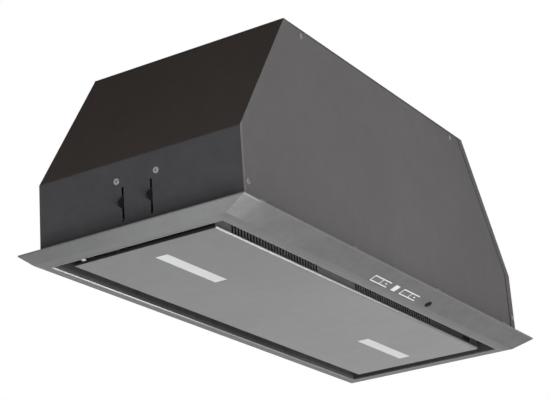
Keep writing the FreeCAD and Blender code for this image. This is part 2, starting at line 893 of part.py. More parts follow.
def lamp_case():
    """Left lamp's folded cover, with a foot along each long side."""
    low = panel_low + panel_sheet
    half = lamp_case_width / 2
    line = [(lamp_y + half + lamp_foot, low + lamp_case_sheet), (lamp_y + half, low + lamp_case_sheet),
            (lamp_y + half, lamp_case_top), (lamp_y - half, lamp_case_top),
            (lamp_y - half, low + lamp_case_sheet), (lamp_y - half - lamp_foot, low + lamp_case_sheet)]
    start = -lamp_place - lamp_case_length / 2
    return bent_sheet(line, lamp_case_sheet, lamp_case_sheet / 2, side_plane(start),
                      vec(lamp_case_length, 0, 0))


def lamp_board():
    """Left lamp's board with its row of light chips facing down."""
    top = lamp_case_top - lamp_case_sheet
    low = top - lamp_board_height
    board = block(-lamp_place - lamp_length / 2, lamp_length / 2 - lamp_place,
                  lamp_y - lamp_board_width / 2, lamp_y + lamp_board_width / 2, low, top)
    chips = []
    for index in range(lamp_chip_count):
        x = (index - (lamp_chip_count - 1) / 2) * lamp_chip_pitch - lamp_place
        chips.append(block(x - lamp_chip / 2, x + lamp_chip / 2, lamp_y - lamp_chip / 2,
                           lamp_y + lamp_chip / 2, low - lamp_chip_height, low))
    return join([board] + chips)


# Keys and control board
def key_sizes():
    """Middle, length and height of each key."""
    return ((key_middle - key_place, key_length, key_height),
            (key_middle, centre_key_length, centre_key_height),
            (key_middle + key_place, key_length, key_height))


def key_body(x, length, height):
    """Key cap flush with the bevel, with a flange behind the sheet and a post into its switch."""
    cap = block(x - length / 2, x + length / 2, key_run - height / 2, key_run + height / 2,
                0, key_face)
    cap = rounded(cap, key_round, upright)
    flange = block(x - length / 2 - key_flange, x + length / 2 + key_flange,
                   key_run - height / 2 - key_flange, key_run + height / 2 + key_flange,
                   key_face, key_face + key_flange_depth)
    post = rod(vec(x, key_run, key_face), key_post_radius, key_back - key_face, Z_AXIS)
    nose = rod(vec(x, key_run, key_back), nose_radius, switch_face - key_back + nose_hold, Z_AXIS)
    return join([cap, flange, post, nose])


def key_mark(x):
    """Light lines let in a key cap's face: a box open on the right, with a divider and a stub."""
    left = x - key_length / 2
    right = x + key_length / 2
    near = key_run - key_height / 2
    far = key_run + key_height / 2
    outer = rounded(block(left, right, near, far, 0, mark_depth), key_round, upright)
    divider = left + key_length * mark_divider_share
    stub = left + key_length * mark_stub_share
    first = block(left + mark_line, divider, near + mark_line, far - mark_line, 0, mark_depth)
    second = block(divider + mark_line, right, near + mark_line, far - mark_line, 0, mark_depth)
    bar = block(stub - mark_stub / 2, stub + mark_stub / 2, key_run - mark_line / 2,
                key_run + mark_line / 2, 0, mark_depth)
    return outer.cut([first, second]), bar


def framed_key(x):
    return on_bevel(key_body(x, key_length, key_height).cut(list(key_mark(x))))


def framed_mark(x):
    return on_bevel(Part.makeCompound(list(key_mark(x))))


def control_board():
    """Board behind the bevel with a switch under each key."""
    inner = control_half_length - control_wall
    board = block(-inner, inner, control_run_start + control_wall, control_run_end - control_wall,
                  board_depth, board_depth + board_thickness)
    pieces = [board]
    for x, length, height in key_sizes():
        switch = block(x - switch_size / 2, x + switch_size / 2, key_run - switch_size / 2,
                       key_run + switch_size / 2, switch_face, board_depth)
        well = rod(vec(x, key_run, switch_face), nose_radius + pin_clearance,
                   nose_hold + key_travel + switch_stop_gap, Z_AXIS)
        pieces.append(switch.cut(well))
    return on_bevel(join(pieces))


def control_box():
    """Cap over the control board, open towards the keys, on two feet."""
    shell = block(-control_half_length, control_half_length, control_run_start, control_run_end,
                  control_depth_start, control_depth_end)
    inner = control_half_length - control_wall
    hollow = block(-inner, inner, control_run_start + control_wall, control_run_end - control_wall,
                   control_depth_start - overrun, control_depth_end - control_wall)
    shell = shell.cut(hollow)
    feet = []
    for side in (-1, 1):
        x = side * (control_half_length - control_foot / 2)
        feet.append(block(x - control_foot / 2, x + control_foot / 2, control_run_start,
                          control_run_start + control_foot, frame_sheet, control_depth_end / 2))
    return on_bevel(join([shell] + feet))


def sensor_window():
    """Round dark window beside the keys, with a light pipe to the board."""
    face = rod(vec(sensor_place, key_run, -sensor_proud), sensor_radius, frame_sheet + sensor_proud,
               Z_AXIS)
    face = face.makeFillet(sensor_round, [face.Edges[2]])
    flange = rod(vec(sensor_place, key_run, frame_sheet), sensor_radius + sensor_flange,
                 sensor_flange_depth, Z_AXIS)
    pipe = rod(vec(sensor_place, key_run, frame_sheet), sensor_pipe_radius,
               board_depth - frame_sheet, Z_AXIS)
    return on_bevel(join([face, flange, pipe]))


# Deck, rails and grease filters
def intake_deck():
    deck = block(-case_inner, case_inner, inner_front, inner_back, deck_low, deck_low + deck_sheet)
    tools = []
    for side in (-1, 1):
        near = filter_inner + deck_ledge
        far = filter_outer - deck_ledge
        tools.append(block(min(side * near, side * far), max(side * near, side * far),
                           filter_front + deck_ledge, filter_back - deck_ledge,
                           deck_low - overrun, deck_low + overrun))
        inner = case_inner - clip_notch_reach
        tools.append(block(min(side * inner, side * (case_inner + overrun)),
                           max(side * inner, side * (case_inner + overrun)),
                           clip_middle - clip_notch_half, clip_middle + clip_notch_half,
                           deck_low - overrun, deck_low + overrun))
    return cut_all(deck, tools)


def filter_middle(side):
    return side * (filter_inner + filter_outer) / 2


def filter_rails():
    """Rail in front of the filters with a window for each latch, and a toe rail behind them."""
    y = filter_front - rail_gap
    front = bent_sheet([(y, rail_low), (y, deck_low), (y - rail_flange, deck_low)], rail_sheet,
                       rail_sheet / 2, side_plane(-rail_end), vec(2 * rail_end, 0, 0))
    top = deck_low - filter_height - part_gap
    windows = []
    for side in (-1, 1):
        x = filter_middle(side)
        windows.append(block(x - tongue_width / 2 - window_gap, x + tongue_width / 2 + window_gap,
                             y - overrun, y + overrun, top - tongue_thickness - window_gap,
                             top + window_gap))
    y = filter_back + rail_gap
    low = deck_low - filter_height
    back = bent_sheet([(y + rail_flange, deck_low), (y, deck_low), (y, low), (y - rail_toe, low)],
                      rail_sheet, rail_sheet / 2, side_plane(-rail_end), vec(2 * rail_end, 0, 0))
    return Part.makeCompound([front.cut(windows), back])


def filter_frame(side):
    """Folded channel frame of one filter, with two guides for its latch."""
    left = min(side * filter_inner, side * filter_outer)
    right = max(side * filter_inner, side * filter_outer)
    low = deck_low - filter_height
    body = block(left, right, filter_front, filter_back, low, deck_low)
    body = rounded(body, filter_bar / 4, upright)
    window = block(left + filter_bar, right - filter_bar, filter_front + filter_bar,
                   filter_back - filter_bar, low - overrun, deck_low + overrun)
    groove = block(left + filter_sheet, right - filter_sheet, filter_front + filter_sheet,
                   filter_back - filter_sheet, low + filter_sheet, deck_low - filter_sheet)
    body = body.cut([window, groove])
    x = filter_middle(side)
    latch_low = low - part_gap - latch_thickness
    y0 = filter_front + latch_inset
    y1 = filter_front + filter_bar
    guides = []
    for way in (-1, 1):
        near = x + way * (latch_width / 2 + part_gap)
        far = near + way * guide_width
        toe = near - way * guide_lip
        guides.append(block(min(near, far), max(near, far), y0, y1,
                            latch_low - part_gap - guide_lip_thickness, low))
        guides.append(block(min(toe, far), max(toe, far), y0, y1,
                            latch_low - part_gap - guide_lip_thickness, latch_low - part_gap))
    return join([body] + guides)


def filter_mesh(side):
    """Expanded metal sheet held in a filter's frame."""
    left = min(side * filter_inner, side * filter_outer)
    right = max(side * filter_inner, side * filter_outer)
    middle = deck_low - filter_height / 2
    sheet = block(left + filter_sheet, right - filter_sheet, filter_front + filter_sheet,
                  filter_back - filter_sheet, middle - mesh_thickness / 2,
                  middle + mesh_thickness / 2)
    holes = []
    y_middle = (filter_front + filter_back) / 2
    for column in range(mesh_columns_count):
        for row in range(mesh_rows_count):
            x = filter_middle(side) + (column - (mesh_columns_count - 1) / 2) * mesh_pitch
            y = y_middle + (row - (mesh_rows_count - 1) / 2) * mesh_pitch
            corners = [vec(x - mesh_hole / 2, y, middle - overrun),
                       vec(x, y - mesh_hole / 2, middle - overrun),
                       vec(x + mesh_hole / 2, y, middle - overrun),
                       vec(x, y + mesh_hole / 2, middle - overrun)]
            holes.append(prism(corners, vec(0, 0, 2 * overrun)))
    return sheet.cut(holes)


def filter_latch(side):
    """Sliding latch under a filter's front bar, with a tongue in the rail's window and a pull."""
    x = filter_middle(side)
    top = deck_low - filter_height - part_gap
    y = filter_front + latch_inset
    plate = block(x - latch_width / 2, x + latch_width / 2, y, y + latch_length,
                  top - latch_thickness, top)
    tongue = block(x - tongue_width / 2, x + tongue_width / 2, y - tongue_length, y + overrun,
                   top - tongue_thickness, top)
    back = y + latch_length
    pull = block(x - latch_width / 3, x + latch_width / 3, back - pull_length, back,
                 top - latch_thickness - pull_depth, top - latch_thickness)
    return join([plate, tongue, pull])


# Blower
def scroll_outline(extra, top):
    """Snail outline of the blower in the side plane, grown by extra, up to the outlet's top."""
    radius = scroll_start + extra
    step = scroll_step

    def at(y, z):
        return vec(0, fan_y + y, fan_z + z)

    def arc(y, z, size, start, end):
        points = []
        for share in (0, 0.5, 1):
            angle = math.radians(start + (end - start) * share)
            points.append(at(y + size * math.cos(angle), z + size * math.sin(angle)))
        return Part.Arc(*points).toShape()

    begin = 90 + math.degrees(math.asin(extra / radius))
    arcs = [arc(0, 0, radius, begin, 180), arc(step, 0, radius + step, 180, 270),
            arc(step, step, radius + 2 * step, 270, 360)]
    outer_y = radius + 3 * step
    height = top - fan_z
    first = at(radius * math.cos(math.radians(begin)), radius * math.sin(math.radians(begin)))
    lines = [Part.makeLine(at(outer_y, step), at(outer_y, height)),
             Part.makeLine(at(outer_y, height), at(first.y - fan_y, height)),
             Part.makeLine(at(first.y - fan_y, height), first)]
    return Part.Face(Part.Wire(arcs + lines))


def scroll_left():
    """Left half of the blower's scroll, with its inlet and bell mouth."""
    outer_half = scroll_half + scroll_wall
    shell = scroll_outline(scroll_wall, scroll_top).translated(vec(-outer_half, 0, 0))
    shell = shell.extrude(vec(outer_half, 0, 0))
    hollow = scroll_outline(0, scroll_top + overrun).translated(vec(-scroll_half, 0, 0))
    hollow = hollow.extrude(vec(scroll_half + overrun, 0, 0))
    lip = rod(vec(-outer_half - inlet_lip_out, fan_y, fan_z), inlet_radius + inlet_lip,
              inlet_lip_out + inlet_lip_in, X_AXIS)
    bore = rod(vec(-outer_half - overrun, fan_y, fan_z), inlet_radius, 4 * overrun, X_AXIS)
    return join([shell.cut(hollow), lip]).cut(bore)


def fan_blade(index):
    """One through blade of the wheel: a strip bent forwards, between the two end rings."""
    inner = vec(0, 0, impeller_inner)
    outer = vec(0, 0, impeller_radius - impeller_ring_sheet - blade_tip_gap)
    half_chord = (outer.z - inner.z) / 2
    middle = vec(0, 0, (outer.z + inner.z) / 2)
    sag = blade_arc_radius - math.sqrt(blade_arc_radius ** 2 - half_chord ** 2)
    lift = vec(0, fan_blade_sheet, 0)
    start = -impeller_half + impeller_ring_sheet
    edges = [Part.Arc(inner, middle + vec(0, sag, 0), outer).toShape(),
             Part.makeLine(outer, outer + lift),
             Part.Arc(outer + lift, middle + vec(0, sag, 0) + lift, inner + lift).toShape(),
             Part.makeLine(inner + lift, inner)]
    strip = Part.Face(Part.Wire(edges)).extrude(vec(-2 * start, 0, 0))
    strip.translate(vec(start, 0, 0))
    strip.rotate(vec(0, 0, 0), X_AXIS, index * 360 / blade_count)
    strip.translate(vec(0, fan_y, fan_z))
    return strip


def fan_blades():
    return Part.makeCompound([fan_blade(index) for index in range(blade_count)])


def fan_rings():
    """The wheel's two end rings, each with a turned edge round the blades' tips."""
    rings = []
    for side in (-1, 1):
        outer_face = side * impeller_half
        inner_face = side * (impeller_half - impeller_ring_sheet)
        lip_end = side * (impeller_half - impeller_ring)
        face = ring(vec(min(outer_face, inner_face), fan_y, fan_z), impeller_radius, impeller_inner,
                    impeller_ring_sheet, X_AXIS)
        lip = ring(vec(min(outer_face, lip_end), fan_y, fan_z), impeller_radius,
                   impeller_radius - impeller_ring_sheet, impeller_ring, X_AXIS)
        rings.append(join([face, lip]))
    return Part.makeCompound(rings)


def fan_disc():
    """Middle disc with the hub; its slotted edge holds the blades."""
    disc = on_shaft(-impeller_disc / 2, impeller_inner + impeller_disc, impeller_disc)
    hub = on_shaft(-impeller_hub_half, impeller_hub_radius, 2 * impeller_hub_half)
    bore = on_shaft(-impeller_half, shaft_radius, 2 * impeller_half)
    return join([disc, hub]).cut(bore).cut(fan_blades())


# Motor
def on_shaft(x, radius, length):
    return rod(vec(x, fan_y, fan_z), radius, length, X_AXIS)


def motor_housing():
    """Motor can with a bearing cup in each end."""
    can = on_shaft(motor_left, motor_radius, motor_right - motor_left)
    inner = on_shaft(motor_left + motor_wall, motor_radius - motor_wall,
                     motor_right - motor_left - 2 * motor_wall)
    cup = bearing_radius + bearing_cup
    cups = [on_shaft(motor_left, cup, bearing_width),
            on_shaft(motor_right - bearing_width, cup, bearing_width)]
    seats = [on_shaft(motor_left - overrun, bearing_radius, bearing_width + overrun),
             on_shaft(motor_right - bearing_width, bearing_radius, bearing_width + overrun)]
    return join([can.cut(inner)] + cups).cut(seats)


def motor_bearings():
    bearings = []
    for x in (motor_left, motor_right - bearing_width):
        bearings.append(on_shaft(x, bearing_radius, bearing_width).cut(
            on_shaft(x, shaft_radius + pin_clearance, bearing_width)))
    return Part.makeCompound(bearings)


def motor_stator():
    length = rotor_right - rotor_left
    return on_shaft(rotor_left, motor_radius - motor_wall, length).cut(
        on_shaft(rotor_left, rotor_radius + rotor_gap, length))


def motor_rotor():
    length = rotor_right - rotor_left
    return on_shaft(rotor_left, rotor_radius, length).cut(on_shaft(rotor_left, shaft_radius, length))


def motor_shaft():
    return on_shaft(shaft_left, shaft_radius, shaft_right - shaft_left)


def motor_bracket():
    """Collar around the motor with arms that reach over the inlet to the scroll's wall."""
    band = ring(vec(arm_plane - arm_sheet, fan_y, fan_z), motor_radius + collar_band, motor_radius,
                collar_right - arm_plane + arm_sheet, X_AXIS)
    pieces = [band]
    for index in range(arm_count):
        arm = block(arm_plane - arm_sheet, arm_plane, -arm_width / 2, arm_width / 2,
                    motor_radius + collar_band / 2, arm_reach)
        foot = block(arm_plane, -scroll_half - scroll_wall, -arm_width / 2, arm_width / 2,
                     arm_reach - arm_foot, arm_reach)
        limb = join([arm, foot])
        limb.rotate(vec(0, 0, 0), X_AXIS, arm_start_angle + index * 360 / arm_count)
        limb.translate(vec(0, fan_y, fan_z))
        pieces.append(limb)
    return join(pieces)


def blower_rail():
    """Left rail: carries the scroll's side and stands on the deck before and behind the filters."""
    wall = -scroll_half - scroll_wall
    low = deck_low + deck_sheet
    line = [(wall - blower_rail_flange, low), (wall, low), (wall, low + blower_rail_height)]
    start = inner_front + blower_rail_end_gap
    return bent_sheet(line, blower_rail_sheet, blower_rail_sheet, front_plane(start),
                      vec(0, inner_back - blower_rail_end_gap - start, 0))


# Outlet
def outlet_duct():
    """Duct from the scroll's square outlet to the round hole in the top plate."""
    shapes = []
    for extra in (outlet_wall, 0):
        half = scroll_half + extra
        front = fan_y - extra
        back = fan_y + scroll_start + 3 * scroll_step + extra
        radius = outlet_radius + extra
        corners = [vec(-half, front, scroll_top), vec(half, front, scroll_top),
                   vec(half, back, scroll_top), vec(-half, back, scroll_top)]
        square = Part.makePolygon(corners + [corners[0]])
        arcs = []
        for quarter in range(4):
            points = []
            for share in (0, 0.5, 1):
                angle = math.radians(-135 + 90 * (quarter + share))
                points.append(vec(radius * math.cos(angle), outlet_y + radius * math.sin(angle),
                                  top_low))
            arcs.append(Part.Arc(*points).toShape())
        shapes.append(Part.makeLoft([square, Part.Wire(arcs)], True, True))
    return shapes[0].cut(shapes[1])


def collar_screw_angles():
    step = 360 / collar_screw_count
    return [collar_screw_angle + index * step for index in range(collar_screw_count)]


def collar_point(angle, z):
    way = math.radians(angle)
    return vec(collar_screw_circle * math.cos(way), outlet_y + collar_screw_circle * math.sin(way), z)


def outlet_collar():
    """Round collar for the duct, with a flange, a stop ring and holes for the flaps' pin."""
    outer = outlet_radius + outlet_wall
    centre = vec(0, outlet_y, casing_height)
    tube = rod(centre, outer, collar_height, Z_AXIS)
    flange = rod(centre, collar_flange_radius, collar_flange_height, Z_AXIS)
    stop_top = pin_height - flap_thickness / 2 - part_gap
    stop = ring(vec(0, outlet_y, stop_top - stop_thickness), outer, outlet_radius - stop_width,
                stop_thickness, Z_AXIS)
    bore = rod(centre - Z_AXIS * overrun, outlet_radius, collar_height + 2 * overrun, Z_AXIS)
    body = join([join([tube, flange]).cut(bore), stop])
    tools = [rod(vec(-outer - overrun, outlet_y, pin_height), flap_pin_radius,
                 2 * (outer + overrun), X_AXIS)]
    for angle in collar_screw_angles():
        tools.append(rod(collar_point(angle, casing_height - overrun), screw_shank_radius,
                         2 * overrun, Z_AXIS))
    return cut_all(body, tools)


def flap(side, knuckle_place):
    """Half-round non-return flap on one side of the pin, with two knuckles."""
    low = pin_height - flap_thickness / 2
    disc = rod(vec(0, outlet_y, low), flap_radius, flap_thickness, Z_AXIS)
    near = outlet_y + side * flap_start
    far = outlet_y + side * (flap_radius + overrun)
    plate = disc.common(block(-flap_radius, flap_radius, min(near, far), max(near, far),
                              low, low + flap_thickness))
    pieces = [plate]
    web = outlet_y + side * (flap_start + overrun / 2)
    for x in (-knuckle_place, knuckle_place - knuckle_length):
        pieces.append(rod(vec(x, outlet_y, pin_height), knuckle_radius, knuckle_length, X_AXIS))
        pieces.append(block(x, x + knuckle_length, min(outlet_y, web), max(outlet_y, web),
                            low, low + flap_thickness))
    bore = rod(vec(-flap_radius, outlet_y, pin_height), flap_pin_radius + pin_clearance,
               2 * flap_radius, X_AXIS)
    return join(pieces).cut(bore)


def flap_pin():
    outer = outlet_radius + outlet_wall
    return rod(vec(-outer, outlet_y, pin_height), flap_pin_radius, 2 * outer, X_AXIS)


# Wiring pieces
def terminal_box():
    """Open box under the top plate for the mains terminals."""
    low = top_low - terminal_depth
    shell = block(terminal_left, terminal_right, terminal_front, terminal_back, low, top_low)
    hollow = block(terminal_left + terminal_wall, terminal_right - terminal_wall,
                   terminal_front + terminal_wall, terminal_back - terminal_wall,
                   low - overrun, top_low - terminal_wall)
    entry = rod(vec(gland_x, gland_y, low), gland_radius, terminal_depth + overrun, Z_AXIS)
    exit_hole = rod(vec(terminal_right - overrun, lead_y, lead_high), lead_radius, 2 * overrun, X_AXIS)
    return shell.cut([hollow, entry, exit_hole])


def terminal_lid():
    low = top_low - terminal_depth
    return block(terminal_left, terminal_right, terminal_front, terminal_back,
                 low - lid_thickness, low)


def mains_gland():
    """Inlet gland for the mains lead on the top plate, with a nut and an open bore."""
    corners = []
    for index in range(gland_nut_sides_count):
        way = math.radians(360 * index / gland_nut_sides_count)
        corners.append(vec(gland_x + gland_nut_radius * math.cos(way),
                           gland_y + gland_nut_radius * math.sin(way), casing_height))
    base = prism(corners, vec(0, 0, gland_nut_height))
    body = rod(vec(gland_x, gland_y, casing_height - gland_tail), gland_radius,
               gland_tail + gland_height, Z_AXIS)
    body = body.makeFillet(gland_bore / 2, [body.Edges[0]])
    bore = rod(vec(gland_x, gland_y, casing_height - gland_tail - overrun), gland_bore,
               gland_tail + gland_height + 2 * overrun, Z_AXIS)
    return join([base, body]).cut(bore)


def capacitor():
    """Motor capacitor hung from the top plate by its stud."""
    can = rod(vec(capacitor_x, capacitor_y, top_low), capacitor_radius, capacitor_length, -Z_AXIS)
    can = can.makeFillet(capacitor_round, [can.Edges[0], can.Edges[2]])
    stud = rod(vec(capacitor_x, capacitor_y, top_low), capacitor_stud_radius, capacitor_stud, Z_AXIS)
    return join([can, stud])


def led_driver():
    """Lamp driver on the deck."""
    low = deck_low + deck_sheet
    body = block(driver_left, driver_left + driver_length, driver_front, driver_front + driver_width,
                 low, low + driver_height)
    return rounded(body, driver_round, upright)


def terminal_block():
    """Three-way terminal block on the top plate, inside its box."""
    top = top_low - terminal_wall
    base = block(block_left, block_left + block_length, block_front, block_front + block_width,
                 top - block_height, top)
    pieces = []
    for index in range(block_ways_count):
        x = block_left + block_length * (index + 0.5) / block_ways_count
        way = rod(vec(x, block_front + block_width / 2, top - block_height - overrun), block_screw,
                  block_height / 2 + overrun, Z_AXIS)
        pieces.append(way)
    return base.cut(pieces)


def motor_lead():
    """Lead from the terminal box down to the motor's end, in straight runs and tangent arcs."""
    start = terminal_right - lead_hold
    down = terminal_right + lead_out
    bend = lead_bend
    points = [vec(start, lead_y, lead_high), vec(down - bend, lead_y, lead_high),
              vec(down, lead_y, lead_high - bend), vec(down, lead_y, lead_low + bend),
              vec(down + bend, lead_y, lead_low), vec(motor_left, lead_y, lead_low)]
    swing = bend * math.sqrt(0.5)
    upper = vec(down - bend + swing, lead_y, lead_high - bend + swing)
    lower = vec(down + bend - swing, lead_y, lead_low + bend - swing)
    edges = [Part.makeLine(points[0], points[1]), Part.Arc(points[1], upper, points[2]).toShape(),
             Part.makeLine(points[2], points[3]), Part.Arc(points[3], lower, points[4]).toShape(),
             Part.makeLine(points[4], points[5])]
    section = Part.Wire(Part.makeCircle(lead_radius, points[0], X_AXIS))
    return Part.Wire(edges).makePipeShell([section], True, False)


def export(name, shape):
    """Writes one piece's file and says whether it is sound."""
    shape.exportStep(os.path.join("parts", name + ".step"))
    state = "ok" if shape.isValid() and shape.Solids else "BAD"
    print(name, state, len(shape.Solids), round(shape.Volume))


def main():
    os.makedirs("parts", exist_ok=True)
    front_y, back_y = clip_centres()
    side_plate = left_side_plate()
    scroll = scroll_left()
    lens = lamp_lens()
    export("bevel_frame", bevel_frame())
    export("front_plate", front_plate())
    export("back_plate", back_plate())
    export("left_side_plate", side_plate)
    export("right_side_plate", mirrored(side_plate))
    export("top_plate", top_plate())
    export("casing_screws", casing_screws())
    export("clip_left_front", clip_blade(front_y))
    export("clip_left_back", clip_blade(back_y))
    export("clip_right_front", mirrored(clip_blade(front_y)))
    export("clip_right_back", mirrored(clip_blade(back_y)))
    export("clip_brackets", both_sides(clip_bracket))
    export("clip_pins", both_sides(clip_pin))
    export("clip_rivets", both_sides(clip_rivet))
    export("perimeter_panel", perimeter_panel())
    export("catch_plates", Part.makeCompound([catch_plate(), mirrored(catch_plate())]))
    export("catch_magnets", Part.makeCompound([catch_magnet(), mirrored(catch_magnet())]))
    export("hinge_pins", Part.makeCompound([knob_hinge_pin(), mirrored(plain_hinge_pin())]))
    export("lamp_lenses", Part.makeCompound([lens, mirrored(lens)]))
    export("lamp_cases", Part.makeCompound([lamp_case(), mirrored(lamp_case())]))
    export("lamp_boards", Part.makeCompound([lamp_board(), mirrored(lamp_board())]))
    export("key_left", framed_key(key_middle - key_place))
    export("key_right", framed_key(key_middle + key_place))
    export("key_centre", on_bevel(key_body(key_middle, centre_key_length, centre_key_height)))
    export("key_left_mark", framed_mark(key_middle - key_place))
    export("key_right_mark", framed_mark(key_middle + key_place))
    export("control_board", control_board())
    export("control_box", control_box())
    export("sensor_window", sensor_window())
    export("intake_deck", intake_deck())
    export("filter_rails", filter_rails())
    for name, side in (("left", -1), ("right", 1)):
        export("filter_frame_" + name, filter_frame(side))
        export("filter_latch_" + name, filter_latch(side))
    export("filter_meshes", Part.makeCompound([filter_mesh(-1), filter_mesh(1)]))
    export("scroll_left", scroll)
    export("scroll_right", mirrored(scroll))
    export("fan_disc", fan_disc())
    export("fan_blades", fan_blades())
    export("fan_rings", fan_rings())
    export("motor_housing", motor_housing())
    export("motor_bearings", motor_bearings())
    export("motor_stator", motor_stator())
    export("motor_rotor", motor_rotor())
    export("motor_shaft", motor_shaft())
    export("motor_bracket", motor_bracket())
    export("blower_rails", Part.makeCompound([blower_rail(), mirrored(blower_rail())]))
    export("outlet_duct", outlet_duct())
    export("outlet_collar", outlet_collar())
    export("flap_front", flap(-1, front_knuckle_place))
    export("flap_back", flap(1, back_knuckle_place))
    export("flap_pin", flap_pin())
    export("terminal_box", terminal_box())
    export("terminal_lid", terminal_lid())
    export("mains_gland", mains_gland())
    export("capacitor", capacitor())
    export("led_driver", led_driver())
    export("terminal_block", terminal_block())
    export("motor_lead", motor_lead())


main()
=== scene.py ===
import json
import math

import bmesh
import bpy
from mathutils import Matrix, Vector

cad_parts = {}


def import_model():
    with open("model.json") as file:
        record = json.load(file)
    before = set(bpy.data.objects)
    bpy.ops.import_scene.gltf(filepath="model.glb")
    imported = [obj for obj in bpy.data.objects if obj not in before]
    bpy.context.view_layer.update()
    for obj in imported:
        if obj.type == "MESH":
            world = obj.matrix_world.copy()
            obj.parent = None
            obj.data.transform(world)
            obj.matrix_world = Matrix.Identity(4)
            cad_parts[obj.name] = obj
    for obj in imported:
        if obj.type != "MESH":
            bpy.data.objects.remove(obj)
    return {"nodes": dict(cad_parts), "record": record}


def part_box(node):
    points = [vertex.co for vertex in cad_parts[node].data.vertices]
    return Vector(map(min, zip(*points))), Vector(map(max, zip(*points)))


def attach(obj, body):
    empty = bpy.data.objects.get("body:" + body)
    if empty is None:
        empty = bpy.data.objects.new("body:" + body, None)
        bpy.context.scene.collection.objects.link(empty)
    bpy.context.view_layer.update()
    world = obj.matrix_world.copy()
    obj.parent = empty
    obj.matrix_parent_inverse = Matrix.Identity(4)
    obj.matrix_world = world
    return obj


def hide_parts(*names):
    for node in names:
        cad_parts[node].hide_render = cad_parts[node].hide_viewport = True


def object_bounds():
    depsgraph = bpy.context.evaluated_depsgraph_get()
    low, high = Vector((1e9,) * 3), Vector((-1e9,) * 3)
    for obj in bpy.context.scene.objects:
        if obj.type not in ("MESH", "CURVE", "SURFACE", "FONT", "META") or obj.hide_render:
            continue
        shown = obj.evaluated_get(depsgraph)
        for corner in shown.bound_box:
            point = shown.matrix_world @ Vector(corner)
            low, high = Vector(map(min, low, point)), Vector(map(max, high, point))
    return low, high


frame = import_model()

CAD_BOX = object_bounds()

MM = 0.001
WHITE = (1.0, 1.0, 1.0)

# Camera
PICTURE_WIDTH = 550.0
FOCAL_PIXELS = 1673.85
SENSOR_WIDTH = 36.0
CAMERA_TURN = math.radians(60.019)
CAMERA_RISE = math.radians(-20.532)
CAMERA_ROLL = math.radians(-4.124)
CAMERA_DISTANCE = 1.97698
CAMERA_RIGHT = -0.029295
CAMERA_UP = 0.052864
CAMERA_TARGET = Vector((0.0, 0.0, 0.07))
CAMERA_NEAR = 0.05
CAMERA_FAR = 50.0

# Room
FLOOR_DROP = 1.30
FLOOR_SIZE = 16.0
FLOOR_COLOUR = (0.80, 0.80, 0.79)
FLOOR_ROUGHNESS = 0.8
FLOOR_CLOUDS = 2.0
FLOOR_GLOW_SHARE = 0.75
FLOOR_NEAR = 1.8
FLOOR_FAR = 4.5
ROOM_LIGHT = 0.062
ROOM_TINT = (1.0, 0.90, 0.83)
BACKGROUND = 1.0

# Lamps: name, place, aim, width in metres, watts and colour
COOL = (0.96, 1.0, 1.05)
LAMPS = (
    ("under", (0.6, 0.2, -1.10), (0.2, 0.0, 0.0), 2.4, 4.2, COOL),
    ("left_low", (-1.55, -0.3, -0.80), (-0.33, 0.0, 0.0), 1.0, 8.0, COOL),
    ("corner", (-0.95, -0.90, -0.58), (-0.32, -0.14, 0.0), 0.5, 3.4, WHITE),
    ("right_low", (1.3, -0.7, -1.05), (0.0, 0.0, 0.0), 0.4, 1.6, WHITE),
    ("key", (0.9, -2.7, 0.9), (0.0, 0.0, 0.08), 1.8, 61.0, WHITE),
    ("back", (1.2, 3.2, 1.2), (0.0, 0.0, 0.1), 1.6, 60.0, WHITE),
    ("above", (2.0, 0.6, 2.4), (0.0, 0.0, 0.1), 1.6, 44.0, WHITE),
)


# Node helpers
def tint(colour, share):
    """The colour made lighter or darker by a share."""
    return tuple(part * share for part in colour)


